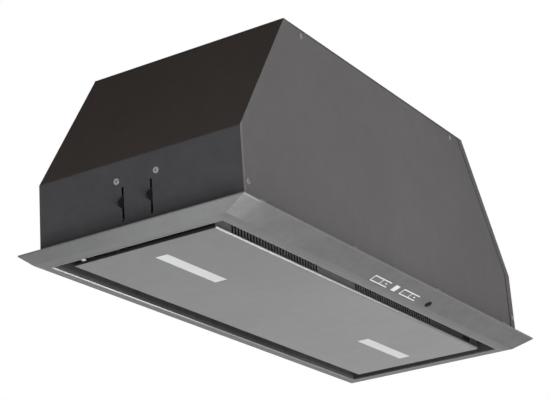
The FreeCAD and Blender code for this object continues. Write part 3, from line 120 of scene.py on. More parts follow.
class Paint:
    """A material's node tree, with short calls for the nodes that the materials share."""

    def __init__(self, name):
        self.material = bpy.data.materials.new(name)
        self.material.use_nodes = True
        self.nodes = self.material.node_tree.nodes
        self.links = self.material.node_tree.links
        self.shader = self.nodes["Principled BSDF"]
        source = self.nodes.new("ShaderNodeTexCoord")
        self.place = source.outputs["Object"]
        self.facing = source.outputs["Normal"]

    def value(self, name, amount):
        self.shader.inputs[name].default_value = amount

    def stretched(self, scale):
        node = self.nodes.new("ShaderNodeMapping")
        node.inputs["Scale"].default_value = scale
        self.links.new(self.place, node.inputs["Vector"])
        return node.outputs["Vector"]

    def noise(self, scale, detail=3.0, roughness=0.55, vector=None):
        node = self.nodes.new("ShaderNodeTexNoise")
        node.inputs["Scale"].default_value = scale
        node.inputs["Detail"].default_value = detail
        node.inputs["Roughness"].default_value = roughness
        self.links.new(vector or self.place, node.inputs["Vector"])
        return node.outputs["Fac"]

    def cells(self, scale):
        node = self.nodes.new("ShaderNodeTexVoronoi")
        node.inputs["Scale"].default_value = scale
        self.links.new(self.place, node.inputs["Vector"])
        return node.outputs["Distance"]

    def ramp(self, factor, stops):
        node = self.nodes.new("ShaderNodeValToRGB")
        ramp = node.color_ramp
        while len(ramp.elements) < len(stops):
            ramp.elements.new(0.5)
        for element, (position, colour) in zip(ramp.elements, stops):
            element.position = position
            element.color = (*colour, 1.0)
        self.links.new(factor, node.inputs["Fac"])
        return node.outputs["Color"]

    def spread(self, factor, colour, dark, pale, start=0.3, end=0.7):
        """The colour, darker where a factor is low and paler where it's high."""
        return self.ramp(factor, [(start, tint(colour, dark)), (end, tint(colour, pale))])

    def blend(self, kind, amount, first, second):
        node = self.nodes.new("ShaderNodeMix")
        node.data_type = "RGBA"
        node.blend_type = kind
        node.inputs["Factor"].default_value = amount
        self.links.new(first, node.inputs["A"])
        self.links.new(second, node.inputs["B"])
        return node.outputs["Result"]

    def tinted(self, first, second):
        """The product of two colours."""
        return self.blend("MULTIPLY", 1.0, first, second)

    def masked(self, first, second, mask):
        """The first colour, and the second where the mask is 1."""
        if mask is None:
            return second
        result = self.blend("MIX", 0.0, first, second)
        self.links.new(mask, result.node.inputs["Factor"])
        return result

    def product(self, first, second):
        node = self.nodes.new("ShaderNodeMath")
        node.operation = "MULTIPLY"
        self.links.new(first, node.inputs[0])
        self.links.new(second, node.inputs[1])
        return node.outputs["Value"]

    def parts(self, vector):
        node = self.nodes.new("ShaderNodeSeparateXYZ")
        self.links.new(vector, node.inputs["Vector"])
        return node.outputs

    def within(self, vector, low, high, total=None):
        """1 where a vector lies between two corners and 0 elsewhere; None leaves a side open."""
        parts = self.parts(vector)
        for axis, least, most in zip("XYZ", low, high):
            for kind, limit in (("GREATER_THAN", least), ("LESS_THAN", most)):
                if limit is None:
                    continue
                test = self.nodes.new("ShaderNodeMath")
                test.operation = kind
                test.inputs[1].default_value = limit
                self.links.new(parts[axis], test.inputs[0])
                passed = test.outputs["Value"]
                total = passed if total is None else self.product(total, passed)
        return total

    def stretch(self, box, facing):
        """1 on the faces in a box that look a certain way."""
        return self.within(self.facing, *facing, self.within(self.place, *box))

    def fade(self, axis, start, end, first, last):
        """A number that goes smoothly from first to last between two places along an axis."""
        node = self.nodes.new("ShaderNodeMapRange")
        node.interpolation_type = "SMOOTHSTEP"
        for name, amount in (("From Min", start), ("From Max", end), ("To Min", first), ("To Max", last)):
            node.inputs[name].default_value = amount
        self.links.new(self.parts(self.place)[axis], node.inputs["Value"])
        return node.outputs["Result"]

    def colour(self, source):
        self.links.new(source, self.shader.inputs["Base Color"])

    def roughness(self, factor, low, high):
        node = self.nodes.new("ShaderNodeMapRange")
        node.inputs["To Min"].default_value = low
        node.inputs["To Max"].default_value = high
        self.links.new(factor, node.inputs["Value"])
        self.links.new(node.outputs["Result"], self.shader.inputs["Roughness"])

    def bump(self, height, depth, strength):
        node = self.nodes.new("ShaderNodeBump")
        node.inputs["Distance"].default_value = depth
        node.inputs["Strength"].default_value = strength
        self.links.new(height, node.inputs["Height"])
        self.links.new(node.outputs["Normal"], self.shader.inputs["Normal"])


# Bump depths
HAIRLINE = 0.01 * MM
ROLLED = 0.03 * MM
PEEL = 0.04 * MM
SPARK = 0.05 * MM
PLATE_STEP = 0.08 * MM

# Scales of the patterns: the higher, the finer
ENAMEL_CLOUDS = 5.0
ENAMEL_PATCHES = 22.0
ENAMEL_FLAKES = 3200.0
SHADE_CLOUDS = 60.0
PEEL_GRAIN = 900.0
CASING_GRAIN = 700.0
EDGE_MARKS = 350.0
STEEL_PATCHES = 14.0
ZINC_SPANGLE = 150.0
ZINC_STAIN = 20.0
WIPE_MARKS = 60.0
POLISH_GRAIN = 500.0
PLASTIC_CLOUDS = 9.0
PLASTIC_PATCHES = 40.0
PLASTIC_SPECKS = 1400.0
SPARK_GRAIN = 1600.0
LAMP_FROST = 1200.0
LAMP_CLOUDS = 30.0
BOARD_TRACKS = 420.0

# Scales along X, Y and Z of the patterns that run one way
LAMINATION_GRAIN = (1800.0, 30.0, 30.0)
SHEET_GRAIN = (6.0, 900.0, 900.0)
TURNED_GRAIN = (900.0, 8.0, 8.0)

# Bounds that leave every side open
EVERYWHERE = ((None, None, None), (None, None, None))


# Materials
def shade(share, box=EVERYWHERE, facing=EVERYWHERE, fade=None):
    """A stretch of a surface whose colour is painted lighter or darker by a share, or by one share for each
    colour: painted light or shade.

    The box bounds its place and facing bounds the way its faces look. The fade gives an axis, two
    places along it and the further shares there.
    """
    tone = share if isinstance(share, tuple) else tint(WHITE, share)
    return tone, box, facing, fade


def enamel(name, colour, rough, gloss, shades=(), grain=PEEL_GRAIN, depth=PEEL):
    """Stoved metallic enamel: faint clouds, fine flakes and a slight orange peel."""
    paint = Paint(name)
    clouds = paint.spread(paint.noise(ENAMEL_CLOUDS, 4.0), colour, 0.95, 1.05)
    flakes = paint.spread(paint.noise(ENAMEL_FLAKES, 2.0), WHITE, 0.93, 1.07, 0.4, 0.62)
    mixed = paint.tinted(clouds, flakes)
    # Each shade paints light or shade into the colour over its stretch
    for tone, box, facing, fade in shades:
        changed = paint.tinted(mixed, paint.spread(paint.noise(SHADE_CLOUDS, 4.0), tone, 0.97, 1.03))
        if fade:
            changed = paint.tinted(changed, paint.fade(*fade))
        mixed = paint.masked(mixed, changed, paint.stretch(box, facing))
    paint.colour(mixed)
    paint.roughness(paint.noise(ENAMEL_PATCHES, 5.0), rough * 0.92, rough * 1.1)
    paint.bump(paint.noise(grain, 2.0), depth, 0.35)
    paint.value("Specular IOR Level", gloss)
    return paint.material


def painted_highlight_edge(name, colour, highlight_stops, box=EVERYWHERE, facing=EVERYWHERE):
    """Enamelled edge with a painted highlight: the list after the colour gives places along X and how pale
    the painted highlight is there.

    The box and facing bound the painted highlight.
    """
    paint = Paint(name)
    marks = paint.noise(EDGE_MARKS, 4.0)
    base = paint.spread(marks, colour, 0.96, 1.04)
    along = paint.nodes.new("ShaderNodeMapRange")
    along.inputs["From Min"].default_value = FRAME_LOW.x
    along.inputs["From Max"].default_value = FRAME_HIGH.x
    paint.links.new(paint.parts(paint.place)["X"], along.inputs["Value"])
    span = FRAME_HIGH.x - FRAME_LOW.x
    stops = [((x - FRAME_LOW.x) / span, tint(WHITE, pale)) for x, pale in highlight_stops]
    # Painted highlight: the edge is painted paler or darker along X, as the light's glint runs along it
    bright = paint.ramp(along.outputs["Result"], stops)
    highlight = paint.tinted(bright, paint.spread(marks, WHITE, 0.95, 1.05))
    paint.colour(paint.masked(base, highlight, paint.stretch(box, facing)))
    paint.roughness(marks, 0.24, 0.34)
    paint.bump(marks, HAIRLINE, 0.2)
    paint.value("Specular IOR Level", 0.3)
    return paint.material


def sheet_steel(name, colour, rough, along=SHEET_GRAIN):
    """Rolled sheet steel with fine lines along the roll and dull patches."""
    paint = Paint(name)
    lines = paint.noise(1.0, 4.0, 0.6, paint.stretched(along))
    patches = paint.spread(paint.noise(STEEL_PATCHES, 5.0), colour, 0.88, 1.06)
    streaks = paint.spread(lines, WHITE, 0.92, 1.06, 0.35, 0.65)
    paint.colour(paint.tinted(patches, streaks))
    paint.roughness(lines, rough - 0.06, rough + 0.08)
    paint.bump(lines, ROLLED, 0.25)
    paint.value("Metallic", 1.0)
    return paint.material


def galvanised(name, colour):
    """Zinc coating with its crystal spangle."""
    paint = Paint(name)
    spangle = paint.cells(ZINC_SPANGLE)
    crystals = paint.spread(spangle, colour, 0.90, 1.08, 0.1, 0.8)
    stain = paint.spread(paint.noise(ZINC_STAIN, 5.0), WHITE, 0.93, 1.03)
    paint.colour(paint.tinted(crystals, stain))
    paint.roughness(spangle, 0.34, 0.50)
    paint.bump(spangle, ROLLED, 0.25)
    paint.value("Metallic", 0.9)
    return paint.material


def polished(name, colour, rough):
    """Polished or plated metal with faint wipe marks."""
    paint = Paint(name)
    marks = paint.noise(WIPE_MARKS, 6.0)
    paint.colour(paint.spread(marks, colour, 0.96, 1.02))
    paint.roughness(marks, rough, rough + 0.07)
    paint.bump(paint.noise(POLISH_GRAIN, 2.0), HAIRLINE, 0.15)
    paint.value("Metallic", 1.0)
    return paint.material


def moulded(name, colour, rough, gloss=0.3):
    """Moulded plastic with a fine spark grain."""
    paint = Paint(name)
    clouds = paint.spread(paint.noise(PLASTIC_CLOUDS, 4.0), colour, 0.92, 1.07)
    specks = paint.spread(paint.noise(PLASTIC_SPECKS, 2.0), WHITE, 0.95, 1.05, 0.4, 0.6)
    paint.colour(paint.tinted(clouds, specks))
    paint.roughness(paint.noise(PLASTIC_PATCHES, 4.0), rough - 0.04, rough + 0.05)
    paint.bump(paint.noise(SPARK_GRAIN, 2.0), SPARK, 0.4)
    paint.value("Specular IOR Level", gloss)
    return paint.material


def diffuser(name, colour):
    """Opal lamp cover: bright, with a fine frost and a faint painted glow."""
    paint = Paint(name)
    frost = paint.noise(LAMP_FROST, 3.0)
    glow = paint.spread(paint.noise(LAMP_CLOUDS, 3.0), colour, 0.97, 1.02)
    paint.colour(glow)
    paint.roughness(frost, 0.35, 0.48)
    paint.bump(frost, ROLLED, 0.2)
    paint.links.new(glow, paint.shader.inputs["Emission Color"])
    paint.value("Emission Strength", 0.04)
    paint.value("Specular IOR Level", 0.2)
    return paint.material


def circuit_board(name, colour):
    """Solder mask with darker tracks under it."""
    paint = Paint(name)
    tracks = paint.cells(BOARD_TRACKS)
    paint.colour(paint.ramp(tracks, [(0.1, tint(colour, 0.7)), (0.4, colour), (0.9, tint(colour, 1.25))]))
    paint.roughness(tracks, 0.25, 0.4)
    paint.bump(tracks, PEEL, 0.3)
    return paint.material


def laminations(name, colour):
    """Stacked core plates: fine lines across the shaft."""
    paint = Paint(name)
    plates = paint.noise(1.0, 2.0, 0.5, paint.stretched(LAMINATION_GRAIN))
    paint.colour(paint.spread(plates, colour, 0.75, 1.15, 0.35, 0.65))
    paint.roughness(plates, 0.45, 0.6)
    paint.bump(plates, PLATE_STEP, 0.5)
    paint.value("Metallic", 0.7)
    return paint.material


FRAME_GREY = (0.196, 0.196, 0.194)
CASING_GREY = (0.139, 0.134, 0.137)
PANEL_GREY = (0.262, 0.262, 0.260)
# The rolled edges are painted a little paler than the frame, a painted highlight
PALER_EDGE_GREY = tint(FRAME_GREY, 1.12)

# Where the painted sheets begin and end
PANEL_LOW, PANEL_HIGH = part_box("perimeter_panel")
FRAME_LOW, FRAME_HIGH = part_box("bevel_frame")
CASING_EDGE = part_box("front_plate")[0].x + 2.4 * MM
LIP_EDGE = FRAME_LOW.y + 2.0 * MM
OPEN_HALF = 324.6 * MM
OPEN_FRONT = -97.0 * MM
OPEN_BACK = 113.4 * MM
WALL_SKIN = 0.5 * MM
RIM_SKIN = 0.9 * MM
PANEL_WALL = PANEL_LOW.y + 1.1 * MM
HEM_SEAM_FROM = PANEL_LOW.y + 2.4 * MM
HEM_SEAM_TO = PANEL_LOW.y + 3.3 * MM
TURNED_DOWN = FRAME_LOW.z + RIM_SKIN
WALL_FOOT = PANEL_LOW.z + RIM_SKIN
WALL_HEAD = PANEL_LOW.z + 9.0 * MM

# Bounds of a face's direction
LEFTWARDS = ((None, None, None), (-0.4, None, None))
RIGHTWARDS = ((0.4, None, None), (None, None, None))
FORWARDS = ((None, None, None), (None, -0.2, None))
UPWARDS = ((None, None, 0.3), (None, None, None))
DOWNWARDS = ((None, None, None), (None, None, -0.9))
LEFT_UPWARDS = ((None, None, 0.3), (-0.3, None, None))
LEFT_LEVEL = ((None, None, -0.2), (-0.9, None, 0.2))
FOLD_FRONT = ((None, None, None), (None, -0.62, 0.10))

# Bounds of a face's place
FRONT_MEMBER = ((None, None, None), (None, OPEN_FRONT, None))
LEFT_RIM = ((None, OPEN_FRONT, None), (-OPEN_HALF, None, None))
OPENING = ((-OPEN_HALF - WALL_SKIN, OPEN_FRONT - WALL_SKIN, TURNED_DOWN),
           (OPEN_HALF + WALL_SKIN, OPEN_BACK + WALL_SKIN, None))
OPENING_BACK = ((None, OPEN_BACK - WALL_SKIN, None), (None, None, None))
BACK_WALL = ((-OPEN_HALF, OPEN_BACK - WALL_SKIN, TURNED_DOWN), (OPEN_HALF, OPEN_BACK + WALL_SKIN, None))
LIP_FRONT = ((None, None, None), (None, LIP_EDGE, None))
PANEL_FRONT_WALL = ((None, None, WALL_FOOT), (None, PANEL_WALL, None))
PANEL_SEAM = ((None, HEM_SEAM_FROM, None), (None, HEM_SEAM_TO, WALL_FOOT))
CASING_LEFT_STRIP = ((None, None, None), (CASING_EDGE, None, None))

# Axis, start, end and the shares of a tone there, for the painted light and shade below
LEFT_BEVEL_FADE = ("Y", -50.0 * MM, 100.0 * MM, 1.0, 0.78)
NEAR_CORNER_FADE = ("X", FRAME_LOW.x, FRAME_LOW.x + 60.0 * MM, 1.50, 1.0)
FRONT_BEVEL_FADE = ("X", -260.0 * MM, -140.0 * MM, 1.0, 0.90)
LEFT_RIM_FADE = ("Y", -40.0 * MM, 100.0 * MM, 1.22, 1.0)
FRONT_RIM_FADE = ("Y", OPEN_FRONT - 10.0 * MM, OPEN_FRONT - 1.0 * MM, 1.0, 1.2)
BACK_WALL_RISE = ("Z", TURNED_DOWN, TURNED_DOWN + 5.0 * MM, 1.0, 0.55)
BACK_WALL_RUN = ("X", 50.0 * MM, 300.0 * MM, 1.0, 1.5)
SEAM_FADE = ("X", FRAME_LOW.x + 20.0 * MM, 0.0, 1.35, 0.90)
PANEL_FADE = ("X", PANEL_LOW.x, 150.0 * MM, 0.85, 1.055)
PANEL_WALL_RISE = ("Z", WALL_FOOT, WALL_HEAD, 0.58, 1.15)
PANEL_WALL_RUN = ("X", 50.0 * MM, 220.0 * MM, 1.0, 0.36)
CASING_FOOT_FADE = ("Z", 0.0, 24.0 * MM, 1.8, 1.0)
CASING_FADE = ("X", 0.0, 330.0 * MM, 1.0, 0.87)

# Painted light and shade on the frame: its ends and near corner are painted paler, its left rim paler
# towards the front and its front rim paler towards the opening's edge, its front bevel darker towards the
# right, the walls round its opening dark as painted shade, and its back wall paler near its foot and towards
# the right
FRAME_PAINTED_LIGHT = (
    shade(1.43, facing=LEFTWARDS, fade=LEFT_BEVEL_FADE),
    shade(1.27, facing=RIGHTWARDS),
    shade(1.0, facing=FORWARDS, fade=NEAR_CORNER_FADE),
    shade(1.0, facing=FORWARDS, fade=FRONT_BEVEL_FADE),
    shade(1.0, LEFT_RIM, DOWNWARDS, LEFT_RIM_FADE),
    shade(1.0, FRONT_MEMBER, DOWNWARDS, FRONT_RIM_FADE),
    shade(0.26, OPENING),
    shade(3.1, BACK_WALL, fade=BACK_WALL_RISE),
    shade(1.0, BACK_WALL, fade=BACK_WALL_RUN),
)
# The seam lines are painted paler near the left corner and darker towards the middle, a painted highlight
SEAM_PAINTED_HIGHLIGHT = (shade(1.0, fade=SEAM_FADE),)

# Painted light and shade on the panel: its face is painted paler towards the right, its front wall darker
# towards its foot and its right end, its side walls and its inside dark as painted shade, and a darker line
# runs along the hem, partly a dark joint and partly a painted shadow at the hem's foot
PANEL_PAINTED_LIGHT = (
    shade(1.0, fade=PANEL_FADE),
    shade(1.0, PANEL_FRONT_WALL, fade=PANEL_WALL_RISE),
    shade(1.0, PANEL_FRONT_WALL, fade=PANEL_WALL_RUN),
    shade(0.08, facing=LEFTWARDS),
    shade(0.20, facing=RIGHTWARDS),
    shade(0.25, facing=UPWARDS),
    shade(0.62, PANEL_SEAM),
)

# Painted light and shade on the casing: its sloping left end is painted warmer and its lower left side
# darker and bluer, that side paler towards its foot, a painted highlight runs down the front plate's left
# edge, and the front is darker towards the right
CASING_PAINTED_LIGHT = (
    shade((1.10, 0.97, 0.88), facing=LEFT_UPWARDS),
    shade((0.84, 0.86, 0.88), facing=LEFT_LEVEL),
    shade(1.0, facing=LEFT_LEVEL, fade=CASING_FOOT_FADE),
    shade(1.30, CASING_LEFT_STRIP, FORWARDS),
    shade(1.0, facing=FORWARDS, fade=CASING_FADE),
)

# Places along X in metres and how pale the painted highlight on each rolled edge is there
OPENING_HIGHLIGHT = ((-0.3242, 0.24), (-0.3225, 0.86), (-0.28, 0.92), (-0.16, 0.92), (-0.02, 0.40), (0.17, 0.33),
               (0.324, 0.28))
PANEL_HIGHLIGHT = ((-0.31, 0.95), (-0.20, 0.92), (-0.04, 0.80), (0.06, 0.62), (0.17, 0.34), (0.31, 0.27))
LIP_HIGHLIGHT = ((-0.35, 0.44), (-0.325, 0.40), (-0.314, 0.155), (0.35, 0.115))

# Recipe of each material and what it asks for after the name
LOOKS = {
    "frame_enamel": (enamel, FRAME_GREY, 0.46, 0.04, FRAME_PAINTED_LIGHT),
    # The rolled edges take painted highlights; beside its highlight the panel's edge is painted darker, a
    # painted shade
    "opening_edge": (painted_highlight_edge, PALER_EDGE_GREY, OPENING_HIGHLIGHT, OPENING_BACK),
    "panel_edge": (painted_highlight_edge, tint(PANEL_GREY, 0.66), PANEL_HIGHLIGHT, EVERYWHERE, FOLD_FRONT),
    "lip_edge": (painted_highlight_edge, PALER_EDGE_GREY, LIP_HIGHLIGHT, LIP_FRONT),
    # The seam lines are painted paler than the frame, a painted highlight
    "seam_grey": (enamel, tint(FRAME_GREY, 1.30), 0.46, 0.04, SEAM_PAINTED_HIGHLIGHT),
    "casing_enamel": (enamel, CASING_GREY, 0.52, 0.0, CASING_PAINTED_LIGHT, CASING_GRAIN, ROLLED),
    "panel_enamel": (enamel, PANEL_GREY, 0.42, 0.10, PANEL_PAINTED_LIGHT),
    "screw_zinc": (enamel, (0.235, 0.232, 0.232), 0.34, 0.30),
    "spring_steel": (moulded, (0.020, 0.019, 0.020), 0.50),
    "zinc_sheet": (galvanised, (0.50, 0.51, 0.52)),
    "rivet_metal": (enamel, (0.46, 0.46, 0.46), 0.42, 0.50),
    "hinge_steel": (polished, (0.42, 0.42, 0.43), 0.24),
    "lamp_diffuser": (diffuser, (0.72, 0.72, 0.725)),
    "circuit_board": (circuit_board, (0.02, 0.12, 0.05)),
    "key_grey": (enamel, tint(FRAME_GREY, 0.96), 0.50, 0.04),
    "key_white": (moulded, (0.90, 0.90, 0.90), 0.45),
    "dark_plastic": (moulded, (0.022, 0.022, 0.024), 0.55),
    "smoked_plastic": (moulded, (0.008, 0.008, 0.010), 0.45, 0.03),
    "filter_aluminium": (sheet_steel, (0.62, 0.63, 0.64), 0.36),
    "latch_plastic": (moulded, (0.03, 0.03, 0.032), 0.50),
    "scroll_plastic": (moulded, (0.035, 0.035, 0.038), 0.50),
    "motor_steel": (sheet_steel, (0.30, 0.31, 0.32), 0.40, TURNED_GRAIN),
    "motor_core": (laminations, (0.22, 0.20, 0.19)),
    "flap_plastic": (moulded, (0.028, 0.028, 0.030), 0.48),
    "capacitor_plastic": (moulded, (0.62, 0.62, 0.59), 0.40),
    "driver_plastic": (moulded, (0.72, 0.72, 0.69), 0.45),
    "lead_pvc": (moulded, (0.45, 0.45, 0.43), 0.55),
}
MATERIALS = {name: recipe(name, *values) for name, (recipe, *values) in LOOKS.items()}
SLOT_OF_NODE = {part["node"]: part["material_slot"] for part in frame["record"]["subparts"]}


def dress(obj, slot):
    obj.data.materials.clear()
    obj.data.materials.append(MATERIALS[slot])


for node_name, node_object in frame["nodes"].items():
    dress(node_object, SLOT_OF_NODE[node_name])


# Mesh helpers
def finished(name, mesh, body, slot, smooth, finish=None):
    """Makes an object of the mesh, smooth up to an angle, dresses it and lets it ride on a body."""
    data = bpy.data.meshes.new(name)
    bmesh.ops.recalc_face_normals(mesh, faces=mesh.faces)
    mesh.to_mesh(data)
    mesh.free()
    obj = bpy.data.objects.new(name, data)
    bpy.context.scene.collection.objects.link(obj)
    data.shade_smooth()
    data.set_sharp_from_angle(angle=smooth)
    dress(obj, finish or slot)
    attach(obj, body)
    return obj


def circle(steps):
    """Cosine and sine of even steps round a circle."""
    turns = [2 * math.pi * step / steps for step in range(steps)]
    return [(math.cos(turn), math.sin(turn)) for turn in turns]


def ring(mesh, place, radius, height, steps):
    """Corners of a circle round the place's Z axis, at a height along it."""
    return [mesh.verts.new(place @ Vector((radius * x, radius * y, height))) for x, y in circle(steps)]


def band(mesh, low, high):
    """Faces between two closed rows of corners; a row of one corner is a tip."""
    count = max(len(low), len(high))
    for step in range(count):
        after = (step + 1) % count
        if len(low) == 1:
            corners = (low[0], high[step], high[after])
        elif len(high) == 1:
            corners = (low[step], low[after], high[0])
        else:
            corners = (low[step], low[after], high[after], high[step])
        mesh.faces.new(corners)


def tube(mesh, start, end):
    """Closed bar between two rows of corners."""
    band(mesh, start, end)
    mesh.faces.new(start)
    mesh.faces.new(list(reversed(end)))


def swept(mesh, outline, start, end):
    """Closed bar whose outline of (y, z) points runs along X."""
    ends = []
    for x in (start, end):
        ends.append([mesh.verts.new((x, y, z)) for y, z in outline])
    tube(mesh, *ends)


def lathe(mesh, profile, place, steps):
    """Closed round body: a profile of (radius, height) points turned about the place's Z axis."""
    rings = []
    for radius, height in profile:
        rings.append(ring(mesh, place, radius, height, steps if radius else 1))
    for low, high in zip(rings, rings[1:]):
        band(mesh, low, high)


def mitred(mesh, half, front, back, height, outline):
    """Closed frame of an outline of (outwards, up) points round a rectangle."""
    corners = []
    for side_x, side_y in ((-1, -1), (1, -1), (1, 1), (-1, 1)):
        corner_y = front if side_y < 0 else back
        corners.append([mesh.verts.new((side_x * (half + out), corner_y + side_y * out, height + up))
                        for out, up in outline])
    for index, corner in enumerate(corners):
        band(mesh, corner, corners[(index + 1) % len(corners)])


def pointing(place, direction):
    """Matrix whose Z axis points along direction, at a place."""
    return Matrix.Translation(place) @ direction.to_track_quat("Z", "Y").to_matrix().to_4x4()


# Edges of the panel and the frame
SOFT_EDGE = math.radians(30)
HEM_RADIUS = 2.0 * MM
HEM_STAND = 0.25 * MM
HEM_STEPS = 10
HEM_END = 2.2 * MM
HEM_FROM = math.radians(-25)
HEM_TO = math.radians(115)
BEAD_WIDTH = 2.0 * MM
BEAD_STAND = 0.7 * MM
BEAD_SINK = 0.3 * MM
BEAD_STEPS = 10
LIP_RADIUS = 0.6 * MM
LIP_RISE_SHARE = 0.4
LIP_HEIGHT = 1.5 * MM
LIP_STEPS = 12
SEAM_RADIUS = 0.45 * MM
SEAM_SINK = 0.25 * MM
SEAM_STEPS = 8
SEAM_SMOOTH = math.radians(60)
BEVEL_SIDE = 9.8 * MM
BEVEL_FRONT = 27.5 * MM


def hem_outline():
    """The fold's outer skin, a little proud of the panel."""
    centre_y = PANEL_LOW.y + HEM_RADIUS
    centre_z = PANEL_LOW.z + HEM_RADIUS
    turns = [HEM_FROM + (HEM_TO - HEM_FROM) * step / HEM_STEPS for step in range(HEM_STEPS + 1)]
    points = []
    for radius, way in ((HEM_RADIUS + HEM_STAND, turns), (HEM_RADIUS - HEM_STAND, reversed(turns))):
        for turn in way:
            points.append((centre_y - radius * math.cos(turn), centre_z - radius * math.sin(turn)))
    return points


def panel_hem():
    """Rolled skin of the panel's front fold."""
    mesh = bmesh.new()
    swept(mesh, hem_outline(), PANEL_LOW.x + HEM_END, PANEL_HIGH.x - HEM_END)
    finished("panel_hem", mesh, "panel", "panel_enamel", SOFT_EDGE, "panel_edge")


def bead_outline():
    """Half-round bead as (outwards, up) points: outwards from the opening's wall, up from the rim."""
    points = [(0.0, BEAD_SINK)]
    for step in range(BEAD_STEPS + 1):
        turn = math.pi * step / BEAD_STEPS
        points.append((BEAD_WIDTH / 2 * (1 - math.cos(turn)), -BEAD_STAND * math.sin(turn)))
    points.append((BEAD_WIDTH, BEAD_SINK))
    return points


def frame_bead():
    """Rolled edge round the frame's opening, mitred at its corners."""
    mesh = bmesh.new()
    mitred(mesh, OPEN_HALF, OPEN_FRONT, OPEN_BACK, FRAME_LOW.z, bead_outline())
    finished("frame_bead", mesh, "hood", "frame_enamel", SOFT_EDGE, "opening_edge")


def lip_bead():
    """Rolled outer edge of the frame's lip, where the bevel starts."""
    mesh = bmesh.new()
    outline = [(LIP_RADIUS * (x - 1), LIP_RADIUS * y) for x, y in circle(LIP_STEPS)]
    height = LIP_RADIUS * LIP_RISE_SHARE - LIP_HEIGHT
    mitred(mesh, FRAME_HIGH.x, FRAME_LOW.y, FRAME_HIGH.y, height, outline)
    finished("lip_bead", mesh, "hood", "frame_enamel", SOFT_EDGE, "lip_edge")


def mitre_seams():
    """Ground weld lines down the bevel's two front corners."""
    mesh = bmesh.new()
    for side_x in (-1, 1):
        top = Vector((side_x * FRAME_HIGH.x, FRAME_LOW.y, -LIP_HEIGHT))
        foot = Vector((side_x * (FRAME_HIGH.x - BEVEL_SIDE), FRAME_LOW.y + BEVEL_FRONT, FRAME_LOW.z))
        way = (foot - top).normalized()
        across = way.cross(Vector((0, 0, 1))).normalized()
        out = across.cross(way).normalized()
        if out.z > 0:
            out = -out
        ends = []
        for end in (top + way * LIP_HEIGHT, foot):
            ends.append([mesh.verts.new(end + across * SEAM_RADIUS * x + out * (SEAM_RADIUS * y - SEAM_SINK))
                         for x, y in circle(SEAM_STEPS)])
        tube(mesh, *ends)
    finished("mitre_seams", mesh, "hood", "frame_enamel", SEAM_SMOOTH, "seam_grey")


panel_hem()
frame_bead()
lip_bead()
mitre_seams()


# Screws
SCREW_RADIUS = 3.2 * MM
SCREW_RISE = 1.6 * MM
SCREW_STEPS = 32
SCREW_SMOOTH = math.radians(40)
SCREW_TURN = 0.7
ISLAND_REACH = 12.0 * MM
HEAD_SHARES = ((1.0, 0.0), (1.0, 0.35), (0.93, 0.70), (0.80, 0.90), (0.62, 1.0))
CROSS_REACH = 1.9 * MM
CROSS_HALF = 0.42 * MM
CROSS_DEPTH = 1.0 * MM
CROSS_TAPER_SHARE = 0.8
SHANK_LENGTH = 8.0 * MM
SHANK_RADIUS = 1.62 * MM
SHANK_TIP = 0.5 * MM
SHANK_SINK = 0.2 * MM
THREAD_PITCH = 1.0 * MM
THREAD_DEPTH = 0.3 * MM
THREAD_COUNT = 7


def islands(obj, reach):
    """Lowest and highest corners of the separate solids of a node that holds several small ones."""
    found = []
    for vertex in obj.data.vertices:
        place = vertex.co
        for group in found:
            if (group[0] - place).length < reach:
                group[1] = Vector(map(min, group[1], place))
                group[2] = Vector(map(max, group[2], place))
                break
        else:
            found.append([place.copy(), place.copy(), place.copy()])
    return [(low, high) for _, low, high in found]


def shank_profile():
    """Blunt tip, thread and plain neck as (radius, height) points, up into the head."""
    core = SHANK_RADIUS - THREAD_DEPTH
    points = [(0.0, -SHANK_LENGTH), (SHANK_TIP, -SHANK_LENGTH)]
    for index in range(THREAD_COUNT):
        root = -SHANK_LENGTH + THREAD_PITCH * (index + 0.5)
        points.append((core, root))
        points.append((SHANK_RADIUS, root + THREAD_PITCH / 2))
    return points + [(core, 0.0), (core, SHANK_SINK), (0.0, SHANK_SINK)]


def cross_outline():
    """The recess's twelve corners, one arm after the other."""
    arm = ((CROSS_REACH, -CROSS_HALF), (CROSS_REACH, CROSS_HALF), (CROSS_HALF, CROSS_HALF))
    outline = []
    for _ in range(4):
        outline += arm
        arm = tuple((-y, x) for x, y in arm)
    return outline


def screw(mesh, place):
    """Pan head with a cross recess on a threaded shank; the place's Z axis points out of the sheet."""
    lathe(mesh, shank_profile(), place, SCREW_STEPS)
    rings = []
    for radius_share, rise_share in HEAD_SHARES:
        rings.append(ring(mesh, place, SCREW_RADIUS * radius_share, SCREW_RISE * rise_share, SCREW_STEPS))
    mesh.faces.new(list(reversed(rings[0])))
    for low, high in zip(rings, rings[1:]):
        band(mesh, low, high)
    floor_height = SCREW_RISE - CROSS_DEPTH
    cross = cross_outline()
    top = [mesh.verts.new(place @ Vector((x, y, SCREW_RISE))) for x, y in cross]
    bottom = [mesh.verts.new(place @ Vector((x * CROSS_TAPER_SHARE, y * CROSS_TAPER_SHARE, floor_height)))
              for x, y in cross]
    edges = []
    for loop in (rings[-1], top):
        for index, vertex in enumerate(loop):
            after = loop[(index + 1) % len(loop)]
            edges.append(mesh.edges.get((vertex, after)) or mesh.edges.new((vertex, after)))
    bmesh.ops.triangle_fill(mesh, use_beauty=True, edges=edges)
    band(mesh, top, bottom)
    mesh.faces.new(bottom)


